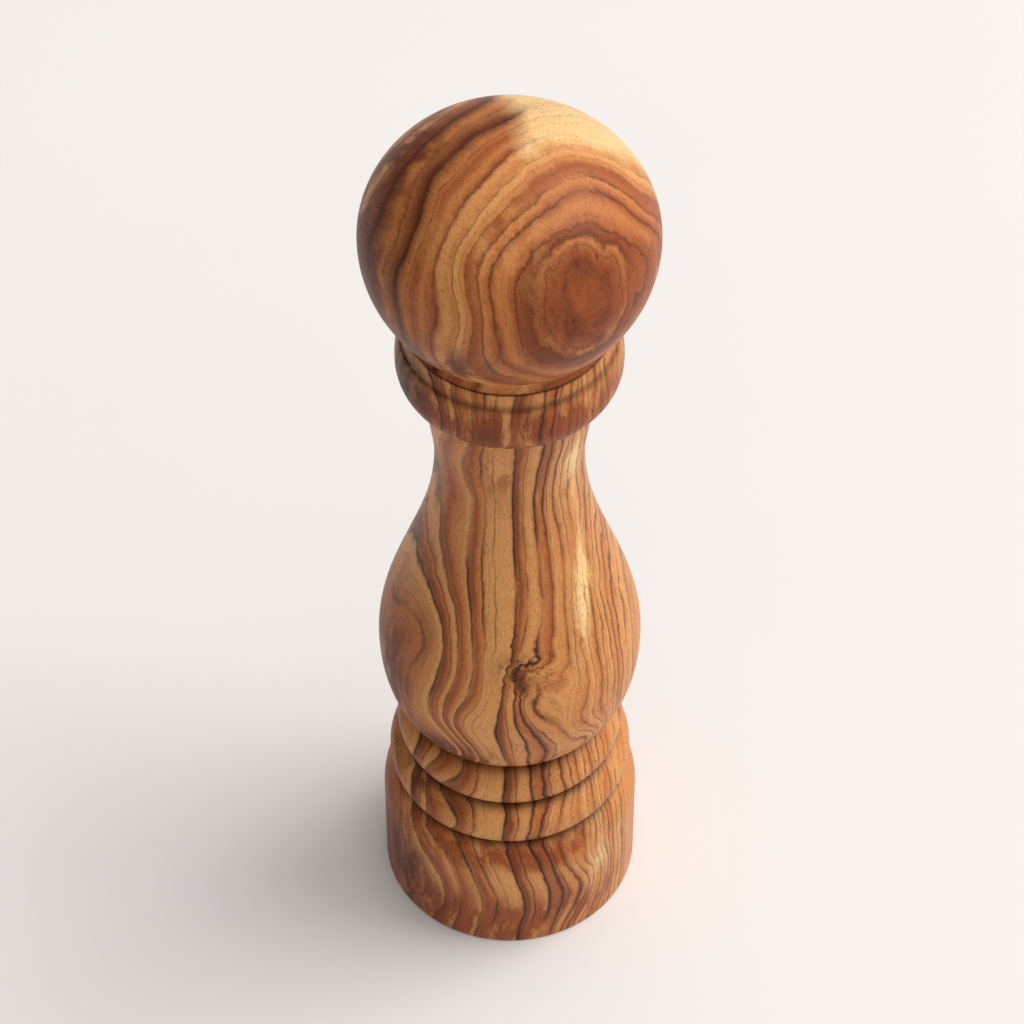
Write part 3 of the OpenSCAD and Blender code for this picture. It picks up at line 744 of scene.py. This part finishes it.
HEAD_VEINS = [
    (1.5, 0.2, 0.8, 0.35), (4.9, 0.22, 0.9, 0.5), (8.2, 0.2, 0.7, 0.5), (9.9, 0.2, 0.7, 0.5),
    (11.6, 0.14, 0.5, 0.4), (13.4, 0.16, 0.6, 0.35), (15.8, 0.2, 0.9, 0.4), (19.3, 0.16, 0.6, 0.3),
    (21.3, 0.4, 1.4, 0.7), (23.6, 0.2, 0.8, 0.3), (26.6, 0.4, 2.0, 0.6), (29.5, 0.2, 0.8, 0.6),
    (32.8, 0.25, 1.0, 0.7),
    (34.8, 0.16, 0.6, 0.5), (36.2, 0.2, 0.8, 0.7), (38.4, 0.2, 0.8, 0.6), (40.2, 0.2, 0.8, 0.7),
]
HEAD_PATCHES = [
    ((-18, 4, 217), (12, 14, 9), BROWN, 0.6),
    ((13, -25, 207), (11, 9, 13), BROWN, 0.55),
    # Partly brown wood and partly painted shade along the ball's dim left edge.
    ((-29, -8, 200), (6, 16, 16), BROWN, 1.0),
    ((-14, -22, 190), (16, 12, 8), BROWN, 0.6),
    ((12, -24, 196), (16, 10, 5), BROWN, 0.5),
    ((26, -12, 202), (8, 14, 9), RUSSET, 0.7),
    # Partly pale wood and partly a painted sheen on the ball's upper front.
    ((-4, -18, 214), (14, 10, 13), HONEY, 0.42),
    ((13, -25, 206), (9, 9, 11), RUSSET, 0.5),
]


def head_figure(tree, point):
    """Growth rises from the eye on the front towards the back of the ball."""
    centred = vectors(tree, "SUBTRACT", point, (0.0, 0.0, 200.3))
    growth = plus(tree, vectors(tree, "DOT_PRODUCT", centred, EYE_WAY), 20.7)
    growth = lifted(tree, point, growth, HEAD_SWIRLS)
    eye = swirl(tree, point, EYE, (14, 14, 14), 13.0)
    torn = vectors(tree, "MULTIPLY", point, (1.3, 1.0, 0.5))
    jag = swing(tree, torn, 0.11, 4, 0.6)
    growth = plus(tree, growth, times(tree, eye, jag))
    parts = add(tree, "ShaderNodeSeparateXYZ", {0: centred}).outputs
    along = times(tree, parts["Z"], 0.35)
    across = vectors(tree, "DOT_PRODUCT", centred, (0.8, 0.6, 0.0))
    layered = add(tree, "ShaderNodeCombineXYZ", {0: growth, 1: across, 2: along}).outputs[0]
    waver = use(tree, WAVER, {"Fibre point": layered, "Sway": 1.6, "Ripple": 0.8, "Feather": 0.3})
    growth = plus(tree, growth, waver["Growth"])
    colour = broad_tones(tree, growth, -6, 52, HEAD_TONES)
    drift = times(tree, swing(tree, layered, 0.3, 3), 3.0)
    placed = plus(tree, growth, drift)
    begun = remap(tree, placed, 12.8, 16.0)
    ended = remap(tree, placed, 25.0, 29.0, 1.0, 0.0)
    sway = times(tree, swing(tree, centred, 0.06, 3), 14.0)
    right = plus(tree, vectors(tree, "DOT_PRODUCT", centred, (1.0, 0.12, 0.0)), drift)
    right = remap(tree, plus(tree, right, sway), -3.0, 4.0)
    patch = times(tree, times(tree, begun, ended), times(tree, right, 0.92))
    colour = mixed(tree, patch, colour, CREAM)
    near_eye = swirl(tree, point, EYE, (10, 12, 11), 1.3)
    upright = vectors(tree, "MULTIPLY", point, (1.0, 0.6, 0.22))
    cracked = remap(tree, noise(tree, upright, 0.55, 4, 0.7), 0.56, 0.68)
    colour = mixed(tree, times(tree, cracked, remap(tree, near_eye, 0.1, 0.9)), colour, BROWN)
    split = remap(tree, noise(tree, upright, 0.9, 3, 0.6), 0.64, 0.7)
    colour = mixed(tree, times(tree, split, remap(tree, near_eye, 0.4, 1.1)), colour, UMBER)
    return growth, layered, colour, HEAD_VEINS, HEAD_PATCHES, times(tree, patch, 0.85)


HEAD_WOOD = wood("olive_head", head_figure)

# %% [markdown]
# ## The body
# Every size here is the CAD model's own, in millimetres, so the smooth body fits what it replaces.

# %% The body's outline
FOOT_R = 29.0
GROOVES = [(23.9, 33.6), (20.9, 45.0), (19.1, 56.4)]
BEADS = [27.3, 25.4]
SHOULDER_H = 9.0
BELLY = (28.9, 79.4)
NECK = (15.8, 138.8)
NECK_TOP = (18.6, 160.0)
CREASE = (22.2, 173.4)
COLLAR_R = 23.5
SEAM = (21.4, 176.8)


def outside_of_body():
    """Outline from the foot to the seam."""
    (low_r, low_z), (mid_r, mid_z), (top_r, top_z) = GROOVES
    edge = 0.6
    rise = BELLY[1] - top_z
    neck_rise = NECK[1] - BELLY[1]
    flare = NECK_TOP[1] - NECK[1]
    return (
        arc(FOOT_R - edge, edge, edge, edge, -90, 0, 6)
        + arc(low_r, low_z - SHOULDER_H, FOOT_R - low_r, SHOULDER_H, 0, 90)
        + bead(low_r, low_z, mid_r, mid_z, BEADS[0])
        + bead(mid_r, mid_z, top_r, top_z, BEADS[1])
        + curve((top_r, top_z), (top_r + 0.245 * rise, top_z + 1.5),
                (BELLY[0], BELLY[1] - 0.58 * rise), BELLY)
        + curve(BELLY, (BELLY[0], BELLY[1] + 0.3 * neck_rise), (NECK[0], NECK[1] - 0.433 * neck_rise), NECK)
        + curve(NECK, (NECK[0], NECK[1] + 0.234 * flare), (NECK_TOP[0], NECK_TOP[1] - 0.07 * flare), NECK_TOP)
        + bead(*NECK_TOP, *CREASE, COLLAR_R)
        + [SEAM]
    )


RECESS = (22.88, 8.0)
MECH_BORE = (17.33, 32.95)
CHAMBER_R = 12.0
MOUTH = (15.03, 164.8)
RIM_REBATE = (16.63, 175.6)

inside_of_body = [
    (RIM_REBATE[0], SEAM[1]), RIM_REBATE, (MOUTH[0], RIM_REBATE[1]), MOUTH, (CHAMBER_R, MOUTH[1]),
    (CHAMBER_R, MECH_BORE[1] + MECH_BORE[0] - CHAMBER_R), MECH_BORE, (MECH_BORE[0], RECESS[1]), RECESS,
    (RECESS[0], 0.0),
]
body_outline = outside_of_body()
body_outline = eased(body_outline + inside_of_body + body_outline[:1], 0.22)
body_mesh = outline_mesh("body_outline", body_outline)
mill_body = grown("turned_body", LATHE, body_mesh, {"Steps round": 160, "Finish": BODY_WOOD})
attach(mill_body, "body")
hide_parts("mill_body")

# %% [markdown]
# ## The head
# The ball is a little flat on top and long below, and runs down into a small cove above the seam. Its
# tenon hides in the body's mouth, and a bore takes the nylon sleeve that grips the shaft.

# %% The head's outline
BALL = (0.0, 200.3)
BALL_R, BALL_UP, BALL_DOWN = 30.2, 25.3, 29.0
COVE = (20.5, 178.8)
HEAD_Z = 177.1
TENON = (12.9, 167.6)
SLEEVE_BORE = (5.78, 199.8)
CUT = radians(-40)


def outside_of_head():
    """Outline from the tenon's end to the top of the ball."""
    seam = (SEAM[0], HEAD_Z)
    cut = Vector((BALL_R * cos(CUT), BALL[1] + BALL_DOWN * sin(CUT)))
    way = Vector((-BALL_R * sin(CUT), BALL_DOWN * cos(CUT))).normalized()
    pull = way * (cut - Vector(COVE)).length * 0.4
    return (
        [TENON, (TENON[0], HEAD_Z), seam]
        + curve(seam, (seam[0], seam[1] + 0.35), (COVE[0], COVE[1] - 0.9), COVE, 8)
        + curve(COVE, (COVE[0], COVE[1] + 1.1), tuple(cut - pull), tuple(cut))
        + arc(*BALL, BALL_R, BALL_DOWN, -39, 0)
        + arc(*BALL, BALL_R, BALL_UP, 2, 90, 60)
    )


bore = [(0.0, SLEEVE_BORE[1]), SLEEVE_BORE, (SLEEVE_BORE[0], TENON[1])]
head_outline = eased(bore + outside_of_head(), 0.2)
head_mesh = outline_mesh("head_outline", head_outline)
ball_head = grown("turned_head", LATHE, head_mesh, {"Steps round": 200, "Finish": HEAD_WOOD})
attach(ball_head, "head")
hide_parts("head")

# %% [markdown]
# ## Effects for the metal, plastic and ceramic
# The inner pieces have few finishes, and what they share becomes a group: mottle is the slight cloudiness
# of any real surface, and brushing is the fine scratches that a lathe or a belt leaves. Each material
# gives them its own scale and strength.

# %% Shared effect groups


def mottle_group():
    """A value that drifts around zero, with a fine part for bump."""
    tree, given, put = new_tree(
        "mottle",
        "ShaderNodeTree",
        {"Point": (0.0, 0.0, 0.0), "Scale": 0.3, "Grain scale": 6.0},
        {"Cloud": "Float", "Grain": "Float"},
    )
    cloud = swing(tree, given["Point"], given["Scale"], 3)
    grain = swing(tree, given["Point"], given["Grain scale"], 2)
    tree.links.new(cloud, put["Cloud"])
    tree.links.new(grain, put["Grain"])
    return tree


def brushing_group():
    """Fine scratches that run round the Z axis: a noise that changes fast with radius and height only."""
    tree, given, put = new_tree(
        "turned_brushing",
        "ShaderNodeTree",
        {"Point": (0.0, 0.0, 0.0), "Fineness": 9.0},
        {"Scratch": "Float"},
    )
    parts = add(tree, "ShaderNodeSeparateXYZ", {0: given["Point"]}).outputs
    flat = add(tree, "ShaderNodeCombineXYZ", {0: parts["X"], 1: parts["Y"]}).outputs[0]
    radius = vectors(tree, "LENGTH", flat)
    way = vectors(tree, "MULTIPLY", vectors(tree, "NORMALIZE", flat), (0.25, 0.25, 0.0))
    high = add(tree, "ShaderNodeCombineXYZ", {0: radius, 1: 0.0, 2: parts["Z"]}).outputs[0]
    fine = noise(tree, vectors(tree, "ADD", high, way), given["Fineness"], 3, 0.7)
    tree.links.new(maths(tree, "SUBTRACT", fine, 0.5), put["Scratch"])
    return tree


MOTTLE, BRUSHING = mottle_group(), brushing_group()


def roughened(tree, surface, base, change, height, depth):
    """Links roughness (base plus a changing part) and a bump of the given depth in millimetres."""
    tree.links.new(plus(tree, base, change), surface.inputs["Roughness"])
    bump = add(tree, "ShaderNodeBump", {"Height": height, "Strength": 0.5, "Distance": depth * MM})
    tree.links.new(bump.outputs["Normal"], surface.inputs["Normal"])


# %% [markdown]
# ## Metals
# The washers and plates are cut from brushed sheet, the shaft is drawn and ground bar, the springs are
# dark drawn wire, and the bush and the dial's nut are turned brass. A metal shows almost only what it
# reflects, so its marks go into roughness and bump, and its colour hardly changes.

# %% Metal finishes


def metal(name, colour, roughness, fineness, scratches, tarnish=0.25):
    """A turned or drawn metal with scratches round the axis and a little tarnish."""
    material, tree, surface, point = begun_material(name)
    cloud = use(tree, MOTTLE, {"Point": point, "Scale": 0.35, "Grain scale": 5.0})
    scratch = use(tree, BRUSHING, {"Point": point, "Fineness": fineness})["Scratch"]
    dark = times(tree, cloud["Cloud"], tarnish)
    shown = plus(tree, dark, times(tree, scratch, scratches * 0.5))
    toned = use(tree, TONED, {"Colour": colour, "Amount": shown})["Colour"]
    tree.links.new(toned, surface.inputs["Base Color"])
    marks = times(tree, scratch, scratches)
    change = plus(tree, times(tree, cloud["Cloud"], 0.2), marks)
    surface.inputs["Metallic"].default_value = 1.0
    roughened(tree, surface, roughness, change, scratch, 0.01)
    return material


sheet_steel = metal("sheet_steel", tone(196, 196, 194), 0.3, 9.0, 0.5)
screw_steel = metal("screw_steel", tone(188, 188, 186), 0.22, 6.0, 0.25)
shaft_steel = metal("shaft_steel", tone(192, 192, 191), 0.2, 4.0, 0.3)
spring_steel = metal("spring_steel", tone(140, 142, 148), 0.26, 5.0, 0.3, 0.5)
brass = metal("brass", tone(214, 170, 92), 0.24, 8.0, 0.35, 0.4)

# %% [markdown]
# ## Nylon, moulded plastic and ceramic
# Nylon is milky and lets a little light in. The black mouldings have the fine spark texture of their
# mould. The fired ceramic is matt, speckled with fine dark grains, and a little grey where pepper oil has
# stained it.

# %% Moulded and fired finishes


def nylon_finish():
    """Milky nylon with a soft sheen."""
    material, tree, surface, point = begun_material("nylon")
    mottle = use(tree, MOTTLE, {"Point": point, "Scale": 0.25, "Grain scale": 4.0})
    amount = times(tree, mottle["Cloud"], 0.12)
    toned = use(tree, TONED, {"Colour": tone(233, 229, 215), "Amount": amount})["Colour"]
    tree.links.new(toned, surface.inputs["Base Color"])
    surface.inputs["Subsurface Weight"].default_value = 0.25
    surface.inputs["Subsurface Radius"].default_value = (1.0, 0.9, 0.7)
    surface.inputs["Subsurface Scale"].default_value = 0.8 * MM
    roughened(tree, surface, 0.38, times(tree, mottle["Cloud"], 0.3), mottle["Grain"], 0.01)
    return material


def moulded_finish():
    """Black plastic with a fine spark texture and a little dust in it."""
    material, tree, surface, point = begun_material("moulded_plastic")
    mottle = use(tree, MOTTLE, {"Point": point, "Scale": 0.2, "Grain scale": 7.0})
    dust = remap(tree, plus(tree, mottle["Cloud"], mottle["Grain"]), 0.08, 0.4, 0.0, 0.12)
    colour = mixed(tree, dust, tone(36, 36, 38), tone(128, 104, 78))
    tree.links.new(colour, surface.inputs["Base Color"])
    roughened(tree, surface, 0.5, times(tree, mottle["Grain"], 0.4), mottle["Grain"], 0.03)
    return material


def ceramic_finish():
    """Matt fired ceramic with fine grains and faint stains."""
    material, tree, surface, point = begun_material("ceramic")
    mottle = use(tree, MOTTLE, {"Point": point, "Scale": 0.3, "Grain scale": 4.5})
    stain = remap(tree, mottle["Cloud"], 0.02, 0.3, 0.0, 0.35)
    colour = mixed(tree, stain, tone(234, 229, 219), tone(190, 172, 146))
    speck = remap(tree, mottle["Grain"], 0.2, 0.3, 0.0, 0.5)
    tree.links.new(mixed(tree, speck, colour, tone(120, 108, 94)), surface.inputs["Base Color"])
    roughened(tree, surface, 0.55, times(tree, mottle["Grain"], 0.3), mottle["Grain"], 0.03)
    return material


nylon, moulded, ceramic = nylon_finish(), moulded_finish(), ceramic_finish()

# %% [markdown]
# ## Screws
# Five cross-head screws hold the base ring and the drive plate. A screw's head and shank are turned, so
# the lathe tree makes them, its thread is a ridge that follows a helix, and its cross is cut by a Boolean.
# One tree then sets copies of the finished screw round a circle.

# %% Screw trees


def ring_of_copies_tree():
    """Copies of the input mesh round a circle, the first at the given angle."""
    tree, given, put = new_tree(
        "ring_of_copies",
        "GeometryNodeTree",
        {
            "Piece": "Geometry", "Count": 3, "Circle radius": 0.02, "First angle": 0.0, "Height": 0.0,
            "Finish": "Material",
        },
        {"Geometry": "Geometry"},
    )
    index = add(tree, "GeometryNodeInputIndex").outputs[0]
    share = maths(tree, "DIVIDE", index, given["Count"])
    angle = plus(tree, times(tree, share, 2 * pi), given["First angle"])
    x = times(tree, maths(tree, "COSINE", angle), given["Circle radius"])
    y = times(tree, maths(tree, "SINE", angle), given["Circle radius"])
    place = add(tree, "ShaderNodeCombineXYZ", {0: x, 1: y, 2: given["Height"]}).outputs[0]
    points = add(tree, "GeometryNodePoints", {"Count": given["Count"], "Position": place}).outputs[0]
    turn = add(tree, "ShaderNodeCombineXYZ", {2: angle}).outputs[0]
    sockets = {"Points": points, "Instance": given["Piece"], "Rotation": turn}
    copies = add(tree, "GeometryNodeInstanceOnPoints", sockets).outputs[0]
    return finish_tree(tree, put, copies, given["Finish"])


def swept_coil_tree():
    """A round bar swept along the input's points, joined in order by a smooth curve."""
    tree, given, put = new_tree(
        "swept_coil",
        "GeometryNodeTree",
        {"Path": "Geometry", "Bar radius": 0.0005, "Sides": 12, "Finish": "Material"},
        {"Geometry": "Geometry"},
    )
    line = add(tree, "GeometryNodeMeshToCurve", {"Mesh": given["Path"]}).outputs[0]
    round_bar = {"Resolution": given["Sides"], "Radius": given["Bar radius"]}
    bar = add(tree, "GeometryNodeCurvePrimitiveCircle", round_bar)
    sockets = {"Curve": line, "Profile Curve": bar.outputs["Curve"], "Fill Caps": True}
    swept = add(tree, "GeometryNodeCurveToMesh", sockets).outputs[0]
    smooth = add(tree, "GeometryNodeSetShadeSmooth", {"Geometry": swept}).outputs[0]
    return finish_tree(tree, put, smooth, given["Finish"])


RING_OF_COPIES, SWEPT_COIL = ring_of_copies_tree(), swept_coil_tree()


def helix(name, radius_at, height_at, turns, steps):
    """A mesh of joined points on a helix, its radius and height in mm given by the share of its length."""
    count = int(turns * steps)
    points = []
    for i in range(count + 1):
        a = 2 * pi * i / steps
        r, z = radius_at(i / count), height_at(i / count)
        points.append((r * cos(a) * MM, r * sin(a) * MM, z * MM))
    mesh = bpy.data.meshes.new(name)
    mesh.from_pydata(points, [(i, i + 1) for i in range(count)], [])
    return mesh


def cut_by(piece, tool):
    """Cuts one closed mesh out of another, exactly, and returns the plain mesh."""
    modifier = piece.modifiers.new("cut", "BOOLEAN")
    modifier.object = tool
    modifier.operation = "DIFFERENCE"
    modifier.solver = "EXACT"
    modifier.use_self = True
    made = plain_mesh_of(piece)
    bpy.data.objects.remove(tool)
    return made


def cross_tool(across, slot, depth, low):
    """Two crossed bars that cut a screw's recess, with their sides drawn in towards the bottom."""
    bm = bmesh.new()
    for turn in (0, pi / 2):
        corners = []
        for z, shrink in ((low - 1.0, 1.0), (low + depth, 0.55)):
            for x, y in ((-1, -1), (1, -1), (1, 1), (-1, 1)):
                px, py = x * across * shrink, y * slot * (0.5 if shrink == 1.0 else 0.4)
                corners.append(bm.verts.new(((px * cos(turn) - py * sin(turn)) * MM,
                                             (px * sin(turn) + py * cos(turn)) * MM, z * MM)))
        a, b = corners[:4], corners[4:]
        bm.faces.new(a[::-1])
        bm.faces.new(b)
        for i in range(4):
            k = (i + 1) % 4
            bm.faces.new((a[i], a[k], b[k], b[i]))
    bmesh.ops.recalc_face_normals(bm, faces=bm.faces)
    mesh = bpy.data.meshes.new("cross_tool")
    bm.to_mesh(mesh)
    bm.free()
    return linked("cross_tool", mesh)


HEAD_SHARE, SEAT_SHARE = 0.84, 0.5
RIDGE_R, RIDGE_START = 0.15, 0.8


def screw_mesh(name, shank, length, finish):
    """One screw, head down, its seat at the origin: turned head and shank, ridge thread, cross recess."""
    head_r, head_h, core = shank * HEAD_SHARE, shank * SEAT_SHARE, shank / 2 - 0.16
    crown = arc(head_r * 0.35, -head_h * 0.3, head_r * 0.65, head_h * 0.7, -90, 0, 10)
    outline = [(0.0, -head_h)] + crown + [(head_r, 0.0), (shank / 2, 0.0), (core, 0.4)]
    outline += [(core, length - shank), (0.0, length)]
    blank = outline_mesh(name, eased(outline, 0.06))
    turned = grown(name + "_blank", LATHE, blank, {"Steps round": 32, "Finish": finish})
    plain_mesh = cut_by(turned, cross_tool(head_r * 0.55, head_r * 0.3, head_h * 0.55, -head_h))
    print(f"{name}: {len(plain_mesh.polygons)} faces once its recess is cut")
    pitch = shank * 0.4
    rise = length - shank * 0.9 - RIDGE_START

    def reach(share):
        return core * (1.0 if share < 0.85 else 1.0 - (share - 0.85) * 2.6)

    def climb(share):
        return RIDGE_START + rise * share

    path = helix(name + "_path", reach, climb, rise / pitch, 16)
    ridge = {"Bar radius": RIDGE_R * MM, "Sides": 4, "Finish": finish}
    thread = grown(name + "_thread", SWEPT_COIL, path, ridge)
    bm = bmesh.new()
    bm.from_mesh(plain_mesh)
    bm.from_mesh(thread.data)
    joined = bpy.data.meshes.new(name)
    bm.to_mesh(joined)
    bm.free()
    bpy.data.objects.remove(thread)
    return joined


def ringed(name, mesh, count, circle, first, height, finish):
    """Copies of a mesh round the mill's axis, as one piece."""
    inputs = {"Count": count, "Circle radius": circle * MM, "First angle": first}
    inputs |= {"Height": height * MM, "Finish": finish}
    return grown(name, RING_OF_COPIES, mesh, inputs)


# %% [markdown]
# ## The screws
# Three screws hold the base ring and two hold the drive plate. Their circle and seat are worked out from
# the CAD node that they replace, and both boxes are printed, so that a slip would show.

# %% The screws


def seat_of_screws(node, shank, side):
    """Circle radius and seat height of a node's screws, from its box and its shank, in millimetres."""
    low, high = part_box(node)
    return high[side] / MM - HEAD_SHARE * shank, low[2] / MM + SEAT_SHARE * shank


BASE_SHANK, PLATE_SHANK = 2.4, 1.8
BASE_LENGTH, PLATE_LENGTH = 10.0, 7.0
base_screw = screw_mesh("base_screw", BASE_SHANK, BASE_LENGTH, screw_steel)
base_circle, base_seat = seat_of_screws("base_ring_screws", BASE_SHANK, 1)
base_screws = ringed("base_screws", base_screw, 3, base_circle, pi / 2, base_seat, screw_steel)
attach(base_screws, "body")
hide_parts("base_ring_screws")
plate_screw = screw_mesh("plate_screw", PLATE_SHANK, PLATE_LENGTH, screw_steel)
plate_circle, plate_seat = seat_of_screws("drive_plate_screws", PLATE_SHANK, 0)
plate_screws = ringed("plate_screws", plate_screw, 2, plate_circle, 0.0, plate_seat, screw_steel)
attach(plate_screws, "head")
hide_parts("drive_plate_screws")
for piece in (base_screws, plate_screws):
    box = [piece.matrix_world @ Vector(corner) for corner in piece.bound_box]
    print(f"{piece.name}: box {[round(f(v[k] for v in box) / MM, 2) for f in (min, max) for k in range(3)]}")

# %% [markdown]
# ## The pressure spring
# The spring is a helix of round wire whose end turns lie close, so it stands square on its washers. A
# helix is a rule, so a loop works out its path and the sweep tree gives it its wire. A finer grind lifts
# the seat, but the coil is made at one length and does not flatten with it.

# %% The pressure spring
spring_low, spring_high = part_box("pressure_spring")
WIRE_R, TURNS, CLOSE_TURNS, TURN_GAP = 0.45, 5.5, 0.75, 0.06
coil_r = spring_high[0] / MM - WIRE_R
coil_low = spring_low[2] / MM + WIRE_R
coil_rise = (spring_high[2] - spring_low[2]) / MM - 2 * WIRE_R
close_rise = CLOSE_TURNS * (2 * WIRE_R + TURN_GAP)
open_rise = coil_rise - 2 * close_rise


def coil_height(share):
    """Height of the coil's centre line at a share of its length."""
    turn = share * TURNS
    if turn < CLOSE_TURNS:
        return coil_low + close_rise * turn / CLOSE_TURNS
    if turn > TURNS - CLOSE_TURNS:
        return coil_low + coil_rise - close_rise * (TURNS - turn) / CLOSE_TURNS
    return coil_low + close_rise + open_rise * (turn - CLOSE_TURNS) / (TURNS - 2 * CLOSE_TURNS)


coil_path = helix("spring_path", lambda share: coil_r, coil_height, TURNS, 48)
coil_inputs = {"Bar radius": WIRE_R * MM, "Sides": 16, "Finish": spring_steel}
pressure_coil = grown("pressure_coil", SWEPT_COIL, coil_path, coil_inputs)
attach(pressure_coil, "drive")
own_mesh(pressure_coil)
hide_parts("pressure_spring")

# %% [markdown]
# ## Finishes for what keeps its CAD shape
# The other pieces are simple and hidden inside, and their CAD shape is already true. Each only gets the
# finish of what it is made of, in place of the CAD model's flat colour.

# %% Finishes on the CAD nodes
FINISHES = {
    nylon: ["neck_ring", "grip_sleeve"],
    moulded: ["mechanism_housing", "bearing_bridge", "rotor_hub", "adjusting_dial"],
    ceramic: ["grinder_ring", "grinder_cone"],
    sheet_steel: ["base_ring", "drive_plate", "thrust_washer", "spring_washer", "spring_seat"],
    shaft_steel: ["drive_shaft"],
    spring_steel: ["shaft_clip", "grip_ring"],
    brass: ["shaft_bush", "dial_nut"],
}
for finish, names in FINISHES.items():
    for name in names:
        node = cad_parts[name]
        node.data.materials.clear()
        node.data.materials.append(finish)
print(f"{len(FINISHES)} finishes dress {sum(len(names) for names in FINISHES.values())} CAD nodes")

# %% [markdown]
# ## The floor
# The mill stands on a plain pale floor, wide enough that no edge shows in a low view. It is staging, so
# it is left out of the model.

# %% The floor
FLOOR_HALF = 12.0


def floor_finish():
    """Matt pale paint."""
    material, tree, surface, point = begun_material("painted_floor")
    mottle = use(tree, MOTTLE, {"Point": point, "Scale": 0.01, "Grain scale": 0.3})
    amount = times(tree, mottle["Cloud"], 0.03)
    toned = use(tree, TONED, {"Colour": tone(232, 229, 227), "Amount": amount})["Colour"]
    tree.links.new(toned, surface.inputs["Base Color"])
    surface.inputs["Roughness"].default_value = 0.6
    return material


floor_mesh = bpy.data.meshes.new("floor")
corners = [(-FLOOR_HALF, -FLOOR_HALF, 0), (FLOOR_HALF, -FLOOR_HALF, 0), (FLOOR_HALF, FLOOR_HALF, 0),
           (-FLOOR_HALF, FLOOR_HALF, 0)]
floor_mesh.from_pydata(corners, [], [(0, 1, 2, 3)])
floor = linked("floor", floor_mesh)
floor_mesh.materials.append(floor_finish())
